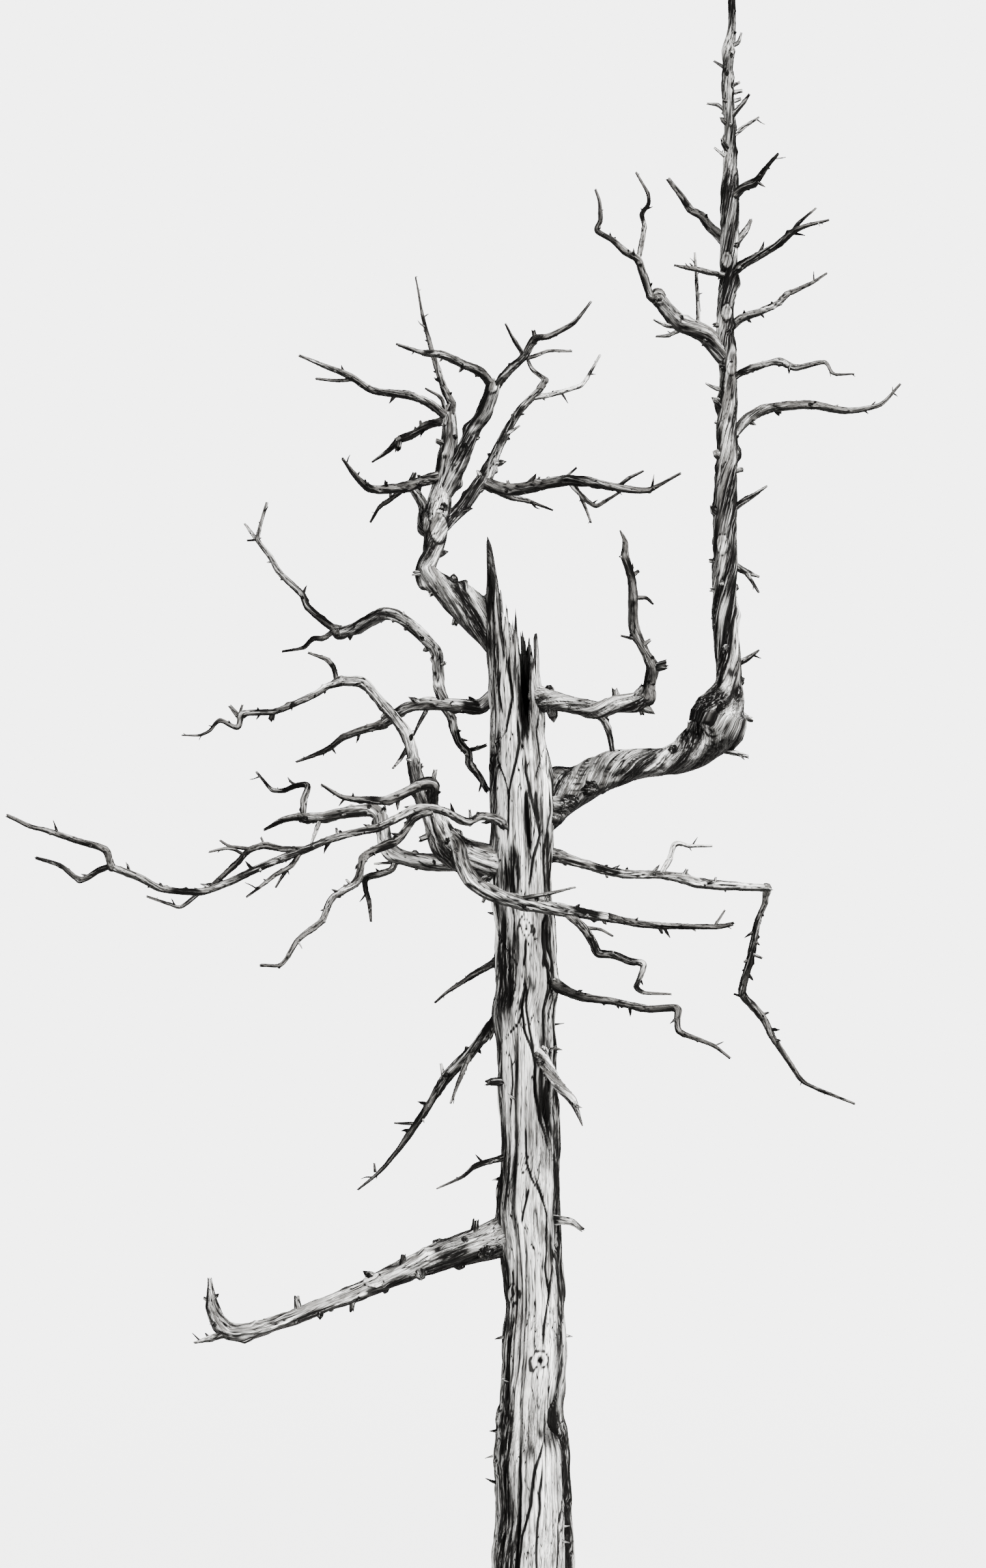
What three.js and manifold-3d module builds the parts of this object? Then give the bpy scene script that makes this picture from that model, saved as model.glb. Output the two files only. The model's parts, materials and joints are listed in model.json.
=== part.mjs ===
// A dead conifer, bare and weathered, with a splintered trunk and one side leader that took over.
// Millimetres, +Z up, +X to the right of the front side. The origin is the middle of the flat
// cut under the trunk. Every limb is worked out from a few bends, its girth at both ends and the
// way it leans to the front or the back.
import * as THREE from 'three';
import Module from 'manifold-3d';

const wasm = await Module();
wasm.setup();

// The bends below are given as they line up from a viewing place in front of the tree, level
// with the middle of the crown. A bend nearer or further off is moved along its line of sight.
const VIEW = { x: -260, z: 5976, away: 28000 };
// Air between two solids that meet.
const CLEAR = 0.3;
// Depth that a limb sways at each bend, as a share of the span before it.
const SWAY = 0.22;
// A limb thinner than this at its end runs out in a point. A thicker one is cut flat.
const POINTED = 9;
// A limb that grows on from a bough's cut end starts at most this share of its girth.
const NARROWER = 0.8;
// Short dead spurs along the limbs: steps between them, their reach, lean and girth.
const SPUR = { stepMin: 170, stepMax: 430, reachMin: 34, reachMax: 78, leanMin: 40, leanMax: 72, share: 0.45 };
// A spur stays this far off every other limb.
const SPUR_AIR = 22;

// Trunk: height, left edge and right edge. Above the root flare the sizes follow its lean.
const TRUNK_EDGES = [
  [0, -405, 405], [120, -368, 362], [300, -330, 320], [600, -295, 282], [1200, -268, 245],
  [1500, -243, 228], [1800, -258, 212], [2200, -220, 176], [2500, -201, 199], [2800, -181, 180],
  [3050, -192, 166], [3400, -228, 156], [3750, -210, 155], [4250, -232, 138], [4600, -258, 121],
  [4740, -247, 150], [5000, -250, 122], [5500, -255, 92], [6000, -284, 78], [6350, -276, 50],
  [6700, -284, 22], [7000, -297, 6], [7480, -300, -10],
];
// Flutes of the trunk's section: how many, share of the radius, first bearing in degrees.
const FLUTES = [[3, 0.045, 20], [5, 0.036, 130], [8, 0.022, 75]];
// Ropes of weathered wood: share of the radius, how many across, how many in a metre, seed.
const ROPES = [[0.058, 2.3, 0.62, 3], [0.034, 4.2, 0.75, 11], [0.042, 1.4, 2.6, 29]];
// Degrees that the flutes and ropes turn in each metre of height.
const TWIST = 8;
// Hollows worn in the front: across, height, half width, half height and depth.
const HOLLOWS = [
  [140, 2110, 60, 120, 24], [72, 4030, 54, 250, 26], [-190, 1560, 52, 460, 14], [56, 5050, 48, 110, 24],
  [-72, 6440, 36, 170, 24], [-110, 5420, 56, 120, 14], [205, 1330, 40, 260, 16], [-60, 5760, 34, 200, 16],
];
// The trunk swells round the root of each thick limb: least girth, share of the girth, its spread.
const COLLAR = { from: 60, share: 0.3, spread: 1.45 };
// Root flare: how many buttresses, share of the radius at the ground, height over which they fade.
const BUTTRESS = { count: 5, share: 0.12, fade: 330, bearing: 40 };
const TRUNK_COLUMNS = 48;
const TRUNK_DEPTH = 0.94;
// The splintered top: floor of the hollow, lowest rim, and the wall's thickness low and at the rim.
const HOLLOW = { floor: 6230, rim: 6560, wall: 46, lip: 9 };
const SHEAR_FROM = 6050;
// The splinters' edges are steep, so their clearance is this many times higher than it is wide.
const RIM_AIR = 24;
// Splinters: bearing in degrees (0 right, 90 back, 180 left), tip height, half width in degrees.
const SPLINTERS = [
  [180, 7475, 52], [157.5, 7320, 30], [140, 7190, 24], [123.75, 7205, 26], [-112.5, 7070, 20], [-78.75, 7070, 18],
  [67.5, 6925, 22], [45, 6850, 20], [11.25, 6800, 22], [-22.5, 6920, 26], [90, 7010, 22],
];
// The cleft in the front of the rim.
const CLEFT = { bearing: -56.25, halfWidth: 15, floor: 6330 };

const LOOKS = {
  trunk: { color: 0x9c9a95, roughness: 0.86, metalness: 0 },
  bough: { color: 0x8f8c86, roughness: 0.88, metalness: 0 },
  twigs: { color: 0x716e69, roughness: 0.9, metalness: 0 },
};

function seededDraws(text) {
  let state = 7;
  for (const letter of text) state = (Math.imul(state, 31) + letter.charCodeAt(0)) >>> 0;
  return () => {
    state = (Math.imul(state, 1664525) + 1013904223) >>> 0;
    return state / 4294967296;
  };
}

// Value of an evenly stepped list at a share of its length.
function stepped(list, share) {
  const spot = Math.min(Math.max(share, 0), 1) * (list.length - 1);
  const low = Math.min(Math.floor(spot), list.length - 2);
  return list[low] + (list[low + 1] - list[low]) * (spot - low);
}

function alongSight(x, z, depth) {
  const spread = (VIEW.away + depth) / VIEW.away;
  return new THREE.Vector3(VIEW.x + (x - VIEW.x) * spread, depth, VIEW.z + (z - VIEW.z) * spread);
}

function closedSolid(points, faces) {
  const mesh = new wasm.Mesh({
    numProp: 3,
    vertProperties: Float32Array.from(points.flatMap((point) => [point.x, point.y, point.z])),
    triVerts: Uint32Array.from(faces.flat()),
  });
  return new wasm.Manifold(mesh);
}

// Trunk

function trunkEdges(height) {
  const last = TRUNK_EDGES.length - 1;
  let row = 0;
  while (row < last - 1 && TRUNK_EDGES[row + 1][0] < height) row += 1;
  const [low, high] = [TRUNK_EDGES[row], TRUNK_EDGES[row + 1]];
  const share = Math.min((height - low[0]) / (high[0] - low[0]), 1);
  const eased = share * share * (3 - 2 * share) * 0.5 + share * 0.5;
  return [low[1] + (high[1] - low[1]) * eased, low[2] + (high[2] - low[2]) * eased];
}

function cornerValue(x, y, z, seed) {
  let mixed = (Math.imul(x, 374761393) + Math.imul(y, 668265263)) >>> 0;
  mixed = (mixed + Math.imul(z, 1440662683) + Math.imul(seed, 974634777)) >>> 0;
  mixed = Math.imul(mixed ^ (mixed >>> 13), 1274126177) >>> 0;
  return ((mixed ^ (mixed >>> 16)) & 0xffff) / 32767.5 - 1;
}

// Smooth noise from -1 to 1.
function noise(x, y, z, seed) {
  const cell = [x, y, z].map(Math.floor);
  const share = [x - cell[0], y - cell[1], z - cell[2]].map((s) => s ** 3 * (s * (s * 6 - 15) + 10));
  let total = 0;
  for (let corner = 0; corner < 8; corner += 1) {
    const step = [corner & 1, (corner >> 1) & 1, (corner >> 2) & 1];
    const weight = step.reduce((product, on, axis) => product * (on ? share[axis] : 1 - share[axis]), 1);
    total += weight * cornerValue(cell[0] + step[0], cell[1] + step[1], cell[2] + step[2], seed);
  }
  return total;
}

function flutedRadius(bearing, height) {
  let radius = 1;
  for (const [count, share, first] of FLUTES) {
    const turned = bearing - first - TWIST * height / 1000;
    radius += share * Math.cos(THREE.MathUtils.degToRad(count * turned));
  }
  const phi = THREE.MathUtils.degToRad(bearing - TWIST * height / 1000);
  for (const [share, across, along, seed] of ROPES) {
    radius += share * noise(Math.cos(phi) * across, Math.sin(phi) * across, height * along / 1000, seed);
  }
  const fade = Math.exp(-height / BUTTRESS.fade);
  const swing = THREE.MathUtils.degToRad(BUTTRESS.count * (bearing - BUTTRESS.bearing));
  return radius + BUTTRESS.share * fade * Math.cos(swing);
}

// The section is stretched so that its sides reach the two edges at this height.
function trunkSection(height) {
  const [left, right] = trunkEdges(height);
  let [least, most] = [1, -1];
  for (let bearing = 0; bearing < 360; bearing += 5) {
    const reach = flutedRadius(bearing, height) * Math.cos(THREE.MathUtils.degToRad(bearing));
    least = Math.min(least, reach);
    most = Math.max(most, reach);
  }
  const half = (right - left) / (most - least);
  return { half, middle: left - half * least };
}

function bell(gap, width) {
  return Math.exp(-((gap / width) ** 2));
}

// Bearing of a place on the front that shows this far across.
function frontBearing(across, height) {
  const { half, middle } = trunkSection(height);
  const share = Math.min(Math.max((across - middle) / half, -0.985), 0.985);
  return -THREE.MathUtils.radToDeg(Math.acos(share));
}

// Collars and hollows as bearing, height, half width, half height and how far they stand proud.
const worn = HOLLOWS.map(([across, height, wide, high, depth]) => (
  [frontBearing(across, height), height, wide, high, -depth]));

function standsProud(bearing, height, half) {
  let proud = 0;
  for (const [at, middle, wide, high, amount] of worn) {
    const side = THREE.MathUtils.degToRad(apart(bearing, at)) * half / wide;
    proud += amount * bell(Math.hypot(side, (height - middle) / high), 1);
  }
  return proud;
}

function trunkPoint(bearing, height, inset, lift = 0) {
  const { half, middle } = trunkSection(height);
  const angle = THREE.MathUtils.degToRad(bearing);
  const radius = half * flutedRadius(bearing, height) + standsProud(bearing, height, half) - inset;
  return new THREE.Vector3(middle + radius * Math.cos(angle), radius * TRUNK_DEPTH * Math.sin(angle), height + lift);
}

function apart(a, b) {
  return Math.abs(((a - b + 540) % 360) - 180);
}

function rimHeight(bearing) {
  let height = HOLLOW.rim;
  for (const [at, tip, halfWidth] of SPLINTERS) {
    const near = Math.max(0, 1 - apart(bearing, at) / halfWidth);
    height = Math.max(height, HOLLOW.rim + (tip - HOLLOW.rim) * near ** 1.25);
  }
  const off = apart(bearing, CLEFT.bearing) / CLEFT.halfWidth;
  return off < 1 ? Math.min(height, CLEFT.floor + (height - CLEFT.floor) * off * off) : height;
}

// Rings of the outer wall up to the rim, then down the inside of the hollow.
function trunkRings(grow, hollow) {
  const heights = [0, 60, 150, 300, 500, 750];
  for (let height = 950; height < SHEAR_FROM; height += 170) heights.push(height);
  const bearings = Array.from({ length: TRUNK_COLUMNS }, (_, i) => i * 360 / TRUNK_COLUMNS);
  const rings = heights.map((height) => bearings.map((bearing) => trunkPoint(bearing, height, -grow)));
  for (const share of [0, 0.3, 0.55, 0.78, 1]) {
    rings.push(bearings.map((bearing) => {
      const height = SHEAR_FROM + (rimHeight(bearing) - SHEAR_FROM) * share;
      const rim = share === 1;
      return trunkPoint(bearing, height, rim ? -grow * 4 : -grow, rim ? grow * RIM_AIR : 0);
    }));
  }
  if (hollow) {
    for (const share of [1, 0.66, 0.33, 0]) {
      rings.push(bearings.map((bearing) => {
        const height = HOLLOW.floor + (rimHeight(bearing) - 6 - HOLLOW.floor) * share;
        const inset = HOLLOW.wall + (HOLLOW.lip - HOLLOW.wall) * share;
        const rim = share === 1;
        return trunkPoint(bearing, height, inset + (rim ? grow * 4 : grow), rim ? grow * RIM_AIR : 0);
      }));
    }
  }
  return rings;
}

function trunkBody(grow, hollow) {
  const rings = trunkRings(grow, hollow);
  const points = rings.flat();
  const faces = [];
  const columns = TRUNK_COLUMNS;
  for (let ring = 0; ring < rings.length - 1; ring += 1) {
    for (let column = 0; column < columns; column += 1) {
      const next = (column + 1) % columns;
      const [a, b] = [ring * columns + column, ring * columns + next];
      faces.push([a, b, b + columns], [a, b + columns, a + columns]);
    }
  }
  const top = (rings.length - 1) * columns;
  const { middle } = trunkSection(hollow ? HOLLOW.floor : HOLLOW.rim);
  const ground = points.push(new THREE.Vector3(0, 0, -grow)) - 1;
  const floor = points.push(new THREE.Vector3(middle, 0, hollow ? HOLLOW.floor - 30 : HOLLOW.rim)) - 1;
  for (let column = 0; column < columns; column += 1) {
    const next = (column + 1) % columns;
    faces.push([ground, next, column], [floor, top + column, top + next]);
  }
  if (grow) points.forEach((point) => { if (point.z < 1) point.z = -grow; });
  return closedSolid(points, faces);
}

// Limbs

// A strand is one tapering run of wood: girth (radius) at its two ends, depth in even steps from
// where it springs, then its bends as [across, height] with the girth there where it swells.
function strand(girth, depth, ...bends) {
  return { girth, depth: [0, ...depth], bends };
}

const limbs = [];

function limb(name, look, parent, ...strands) {
  limbs.push({ name, look, parent, strands });
}

function plan(name, parent, ...strands) {
  limb(name, 'bough', parent, ...strands);
}

function spray(name, parent, ...strands) {
  limb(name, 'twigs', parent, ...strands);
}

plan('right_arm', 'trunk',
  strand([168, 96], [100, 200], [-30, 5790], [100, 5900, 140], [250, 5970, 104], [420, 6055, 90],
    [600, 6098, 95], [750, 6116, 82], [900, 6158, 86], [1060, 6270]),
  strand([22, 8], [-30], [1060, 6215], [1160, 6188], [1300, 6150]));

plan('right_leader', 'right_arm',
  strand([62, 3], [20, 40, 60], [1106, 6202], [1118, 6248, 104], [1129, 6330, 138], [1136, 6405, 142],
    [1165, 6490, 104], [1185, 6600, 79], [1184, 6720, 76], [1165, 7000, 75], [1172, 7250, 72],
    [1170, 7600, 70], [1178, 7950, 70], [1175, 8150, 62], [1184, 8450, 56], [1166, 8750, 52],
    [1168, 8920, 50], [1185, 9100, 56], [1197, 9350, 57], [1197, 9600, 56], [1195, 9750, 43],
    [1196, 10000, 38], [1178, 10300, 33], [1187, 10480, 41], [1208, 10620, 25], [1205, 10850, 20],
    [1207, 11050]),
  strand([22, 4], [-60], [1184, 6700], [1290, 6745], [1370, 6800]),
  strand([24, 5], [60, 80], [1180, 7345], [1300, 7282], [1370, 7255]),
  strand([14, 4], [-20], [1290, 7288], [1370, 7160]),
  strand([22, 5], [-50, -90], [1180, 7650], [1300, 7730], [1420, 7810]),
  strand([24, 8], [60], [1200, 9260], [1290, 9380], [1322, 9440]),
  strand([14, 4], [-30], [1196, 9810], [1105, 9885]),
  strand([15, 4], [40, 60], [1196, 9945], [1270, 10010], [1370, 10075]),
  strand([18, 5], [-50], [1190, 10060], [1280, 10170], [1312, 10215]),
  strand([14, 4], [60, 70], [1185, 10100], [1120, 10152], [1060, 10160]),
  strand([14, 5], [30], [1180, 10370], [1100, 10420]));

spray('leader_twigs_top_right', 'right_leader',
  strand([26, 5], [-70, -150, -240], [1197, 9560], [1270, 9640], [1350, 9682], [1420, 9770], [1490, 9850]));
spray('leader_twigs_top_left', 'right_leader',
  strand([28, 9], [110, 200, 260], [1192, 9276], [1066, 9408], [1020, 9470], [950, 9510], [890, 9600],
    [820, 9692]));
spray('leader_twigs_high_right', 'right_leader',
  strand([25, 4], [-80, -190, -290, -340], [1185, 9090], [1280, 9180], [1380, 9230], [1500, 9300],
    [1580, 9370], [1660, 9410], [1800, 9445]),
  strand([12, 4], [-20, -10], [1565, 9357], [1620, 9430], [1720, 9515]));
spray('leader_twigs_high_left', 'right_leader',
  strand([20, 5], [-150, -300], [1185, 9100], [1050, 9128], [1000, 9142], [930, 9154], [860, 9166]));
spray('leader_twigs_mid_right', 'right_leader',
  strand([23, 5], [120, 240, 380], [1165, 8750], [1260, 8840], [1400, 8890], [1500, 8940], [1550, 8990],
    [1700, 9060], [1785, 9115]));
spray('leader_twigs_low_right', 'right_leader',
  strand([21, 5], [-100, -200, -280], [1184, 8450], [1270, 8510], [1380, 8550], [1500, 8575, 24],
    [1600, 8540], [1780, 8570], [1830, 8502], [1960, 8500]));
spray('leader_twigs_long_right', 'right_leader',
  strand([30, 5], [120, 260, 400, 520], [1175, 8060], [1280, 8210], [1430, 8290], [1700, 8310],
    [1900, 8275], [2120, 8310], [2240, 8435]));

plan('leader_left_bough', 'right_leader',
  strand([50, 30], [-60, -130], [1170, 8600], [1055, 8732], [984, 8772], [884, 8812], [806, 8902],
    [748, 8975]),
  strand([13, 4], [60, 80], [998, 8765], [1000, 8880], [992, 9060], [980, 9240]),
  strand([16, 4], [-80], [900, 8790], [800, 8800], [730, 8832]),
  strand([14, 4], [40], [915, 8785], [820, 8735], [745, 8730]));
spray('leader_left_twigs', 'leader_left_bough',
  strand([23, 5], [-60, -130, -180], [748, 8975], [708, 8982], [660, 9112], [630, 9200], [550, 9250],
    [480, 9318], [380, 9382], [400, 9445], [395, 9550], [370, 9630]),
  strand([15, 4], [60, 120, 150], [632, 9200], [670, 9400], [655, 9480], [695, 9545], [690, 9610],
    [620, 9735]));

plan('upper_right_bough', 'trunk',
  strand([92, 44], [-150, -250], [-90, 6530], [40, 6500, 84], [120, 6490, 60], [250, 6460, 50],
    [380, 6440, 50], [500, 6474, 53], [620, 6478, 56], [690, 6505]),
  strand([18, 6], [-50, -70], [340, 6432], [408, 6388], [447, 6325], [470, 6195]));
spray('upper_right_twigs', 'upper_right_bough',
  strand([34, 5], [-60, -120, -200], [690, 6505], [702, 6600], [722, 6690, 36], [680, 6780], [605, 6940, 23],
    [600, 7130, 28], [590, 7250], [550, 7380], [550, 7470, 14], [520, 7540]),
  strand([13, 4], [40], [605, 7125], [680, 7125], [720, 7090]),
  strand([10, 4], [-40], [640, 6865], [530, 6890]));

plan('upper_left_bough', 'trunk',
  strand([112, 80], [60, 120, 180], [-205, 6860], [-305, 6970, 112], [-415, 7062, 95], [-515, 7142, 80],
    [-612, 7228, 64], [-668, 7298, 60], [-640, 7395, 54], [-616, 7500, 68], [-600, 7625]));
plan('crown_left_bough', 'upper_left_bough',
  strand([72, 36], [50, 110], [-600, 7625], [-574, 7800, 60], [-546, 7950, 56], [-524, 8100, 48],
    [-528, 8255]));
plan('crown_middle_bough', 'crown_left_bough',
  strand([46, 30], [-70, -180], [-576, 7725], [-478, 7925], [-427, 8050], [-374, 8170], [-302, 8290],
    [-262, 8420]));
plan('crown_right_bough', 'upper_left_bough',
  strand([56, 21], [110, 220, 320], [-596, 7550], [-475, 7655, 42], [-365, 7795, 40], [-305, 7870, 46],
    [-215, 8072, 28], [-98, 8275, 24], [30, 8412]),
  strand([15, 5], [60, 140, 200], [-30, 8350], [60, 8362], [130, 8380], [220, 8408], [282, 8430],
    [332, 8500], [397, 8612]));
spray('crown_left_top_twigs', 'crown_left_bough',
  strand([28, 5], [40, 80, 120], [-528, 8255], [-512, 8315, 27], [-562, 8410, 22], [-620, 8590], [-650, 8700],
    [-690, 8850], [-735, 9095]));
spray('crown_left_twigs', 'crown_left_bough',
  strand([26, 6], [-120, -240, -360], [-530, 8235], [-660, 8320], [-780, 8370], [-1000, 8400],
    [-1150, 8490], [-1300, 8550], [-1445, 8610]),
  strand([12, 4], [40], [-1120, 8465], [-1220, 8460], [-1345, 8470]),
  strand([13, 4], [-50], [-552, 8262], [-580, 8352], [-674, 8410]));
spray('crown_left_low_twigs', 'crown_left_bough',
  strand([25, 6], [150, 300, 420], [-535, 8210], [-650, 8190], [-750, 8130], [-830, 8098, 24],
    [-900, 8030], [-1000, 7960]));
spray('crown_middle_left_twigs', 'crown_middle_bough',
  strand([26, 5], [-130, -270, -420], [-262, 8425], [-330, 8505], [-420, 8550], [-580, 8620],
    [-700, 8632], [-850, 8682]));
spray('crown_middle_right_twigs', 'crown_middle_bough',
  strand([24, 5], [-60, -140, -180], [-290, 8330], [-200, 8480], [-130, 8550], [-65, 8612], [0, 8715],
    [80, 8730], [240, 8820], [340, 8942]),
  strand([14, 4], [-60], [-65, 8612], [-125, 8700], [-182, 8805]),
  strand([12, 4], [50, 80], [-90, 8585], [0, 8610], [80, 8640], [220, 8640]));
spray('crown_right_twigs', 'crown_right_bough',
  strand([17, 5], [30, 60], [30, 8412], [60, 8462], [-20, 8530], [-52, 8600]));
spray('crown_side_twigs', 'crown_right_bough',
  strand([36, 5], [-120, -260, -400, -520], [-340, 7850], [-220, 7800], [-120, 7790], [0, 7812],
    [220, 7850], [450, 7812], [600, 7788], [700, 7790], [890, 7887]),
  strand([20, 4], [80, 170, 220], [-270, 7795], [-150, 7742], [-50, 7722], [104, 7664]),
  strand([15, 4], [-90, -120], [200, 7840], [302, 7738], [372, 7690], [432, 7722], [530, 7780]),
  strand([13, 4], [70, 120], [225, 7850], [290, 7725], [340, 7590]),
  strand([12, 4], [-50, -90], [500, 7800], [580, 7862], [660, 7902]),
  strand([10, 3], [30], [150, 7838], [250, 7922]));
spray('left_reach_twigs', 'crown_left_bough',
  strand([32, 6], [-150, -330, -520], [-580, 7875], [-680, 7842], [-820, 7800], [-920, 7790],
    [-1030, 7802], [-1120, 7890], [-1182, 7975]),
  strand([15, 4], [60, 90], [-790, 7806], [-900, 7722], [-960, 7680], [-1012, 7592]));
spray('left_hook_twigs', 'upper_left_bough',
  strand([36, 10], [90, 190, 260], [-625, 7490], [-685, 7570], [-682, 7680], [-722, 7755], [-762, 7820],
    [-745, 7882]));

plan('left_upper_bough', 'trunk',
  strand([46, 30], [90, 170, 240], [-190, 6590], [-330, 6462], [-400, 6456], [-620, 6475], [-700, 6470],
    [-800, 6440, 34], [-930, 6350]),
  strand([14, 4], [60, 90], [-650, 6473], [-700, 6380], [-750, 6280]));
spray('left_upper_twigs', 'left_upper_bough',
  strand([24, 5], [80, 190, 300], [-930, 6350], [-1020, 6322], [-1180, 6270], [-1270, 6200], [-1380, 6150],
    [-1465, 6118]));
spray('left_hanging_twigs', 'left_upper_bough',
  strand([22, 5], [30, 80, 110], [-590, 6474], [-520, 6400], [-500, 6320], [-470, 6240], [-410, 6170],
    [-400, 6100], [-340, 6020], [-298, 5945]),
  strand([11, 4], [30], [-420, 6185], [-350, 6202], [-305, 6218]));
plan('left_loop_bough', 'left_upper_bough',
  strand([33, 26], [100, 250, 430, 600], [-555, 6462], [-590, 6575], [-608, 6780], [-658, 6850],
    [-765, 6956], [-852, 7016], [-930, 7026], [-1100, 6940], [-1200, 6910]));
spray('left_loop_twigs', 'left_loop_bough',
  strand([21, 6], [60, 140, 220, 300], [-1200, 6910], [-1250, 6944], [-1400, 7070], [-1430, 7140],
    [-1580, 7290], [-1630, 7380], [-1705, 7480], [-1695, 7545], [-1650, 7702]),
  strand([12, 4], [50], [-1700, 7465], [-1742, 7522], [-1782, 7575]),
  strand([17, 5], [-60, -110, -150], [-1225, 6935], [-1300, 6876], [-1370, 6870], [-1420, 6820],
    [-1552, 6795]));

plan('arch_bough', 'trunk',
  strand([104, 28], [-40, -110, -120, -110, -110, -130], [-120, 5500], [-300, 5515, 88], [-450, 5548, 98],
    [-550, 5622, 84], [-600, 5705, 74], [-640, 5800, 62], [-695, 5905, 50], [-750, 6100, 42],
    [-765, 6200, 35], [-802, 6300, 34], [-930, 6460, 32], [-1060, 6600, 31], [-1190, 6612]),
  strand([13, 4], [-40], [-775, 6225], [-830, 6130], [-872, 6080]));
spray('arch_twigs', 'arch_bough',
  strand([22, 5], [-80, -170, -260, -340], [-1190, 6612], [-1280, 6580], [-1360, 6530], [-1600, 6430],
    [-1800, 6410, 18], [-1830, 6332], [-1940, 6370], [-2000, 6310], [-2060, 6280], [-2172, 6280]),
  strand([16, 5], [60, 90], [-1215, 6600], [-1242, 6700], [-1282, 6745], [-1392, 6786]));
spray('left_front_twigs', 'arch_bough',
  strand([32, 5], [-125, -150, -200, -250, -310, -360], [-632, 5820], [-630, 5920], [-642, 5980],
    [-720, 5970], [-900, 5880], [-1000, 5880], [-1180, 5900], [-1312, 5976]));
plan('knee_bough', 'arch_bough',
  strand([56, 32], [60, 180, 320, 450, 560], [-430, 5500], [-600, 5500], [-800, 5530], [-872, 5560],
    [-912, 5625, 45], [-935, 5710], [-952, 5782], [-1005, 5822], [-1180, 5800], [-1300, 5772],
    [-1400, 5770]),
  strand([14, 4], [-60], [-1318, 5775], [-1345, 5700], [-1382, 5600]));
spray('knee_twigs', 'knee_bough',
  strand([25, 6], [60, 130], [-1400, 5770], [-1450, 5780], [-1550, 5760], [-1662, 5702]),
  strand([19, 5], [60, 130, 200], [-1425, 5778], [-1422, 5880], [-1402, 5972], [-1470, 5970],
    [-1550, 5940], [-1615, 5946], [-1712, 6052]));
spray('knee_hanging_twigs', 'knee_bough',
  strand([21, 5], [-40, -30, 20], [-850, 5545], [-880, 5460], [-950, 5430], [-1040, 5400], [-1040, 5330],
    [-1020, 5250], [-1010, 5140]),
  strand([10, 4], [40], [-862, 5500], [-985, 5490]));

plan('long_bough', 'trunk',
  strand([34, 20], [-300, -450, -560, -670, -800, -930, -1060, -1180], [-120, 5640], [-225, 5757, 27],
    [-330, 5783, 24], [-425, 5748, 25], [-550, 5808, 25], [-720, 5830, 25], [-880, 5750], [-970, 5710], [-1200, 5660],
    [-1430, 5570], [-1620, 5500], [-1880, 5380], [-2050, 5320], [-2300, 5340], [-2420, 5400],
    [-2600, 5470]));
spray('long_tip_twigs', 'long_bough',
  strand([16, 4], [-60, -130, -180], [-2600, 5470], [-2642, 5575], [-2800, 5630], [-3000, 5695],
    [-3100, 5720], [-3240, 5786]),
  strand([13, 4], [60, 110, 150], [-2610, 5480], [-2680, 5450], [-2792, 5395], [-2920, 5480],
    [-3062, 5526]));
spray('long_middle_twigs', 'long_bough',
  strand([18, 5], [110, 230, 330, 400], [-1400, 5580], [-1550, 5580], [-1660, 5600], [-1750, 5580],
    [-1830, 5500], [-1980, 5360], [-2050, 5320], [-2180, 5225], [-2250, 5245], [-2382, 5290]),
  strand([11, 4], [40, 60], [-1740, 5580], [-1880, 5600], [-1932, 5632]),
  strand([10, 4], [-50, -80], [-1785, 5548], [-1880, 5585], [-2002, 5564]));
spray('long_hanging_twigs', 'long_bough',
  strand([15, 4], [-70, -140], [-1440, 5568], [-1500, 5480], [-1600, 5420], [-1700, 5342], [-1772, 5290]),
  strand([11, 4], [60, 90], [-1478, 5510], [-1550, 5420], [-1592, 5350]));
spray('drooping_twigs', 'long_bough',
  strand([24, 6], [-90, -190, -300, -420, -540, -660], [-640, 5820], [-740, 5780], [-800, 5700],
    [-862, 5630], [-1000, 5570], [-1060, 5530], [-1100, 5380], [-1250, 5280], [-1312, 5140],
    [-1458, 5024], [-1520, 4920], [-1570, 4866], [-1682, 4866]));

plan('crossing_bough', 'arch_bough',
  strand([56, 27], [-110, -210, -240, -250, -280, -320], [-560, 5665], [-480, 5600], [-450, 5500],
    [-380, 5382, 46], [-220, 5290, 42], [0, 5240, 39], [200, 5200, 35], [450, 5160]),
  strand([13, 4], [-40, -50], [-130, 5268], [0, 5295], [100, 5312], [242, 5346]));
spray('crossing_twigs', 'crossing_bough',
  strand([21, 9], [-90, -190, -270], [450, 5160], [600, 5125], [750, 5110], [900, 5104], [1120, 5104],
    [1205, 5122]),
  strand([9, 4], [30], [1100, 5105], [1162, 5202]));
spray('crossing_low_twigs', 'crossing_bough',
  strand([24, 4], [-70, -150, -220], [180, 5200], [300, 5090], [360, 5000], [390, 4942], [480, 4930],
    [580, 4890], [660, 4872], [620, 4732], [660, 4700], [832, 4690]),
  strand([11, 4], [-50], [290, 5100], [400, 5088], [472, 5050]));

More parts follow.
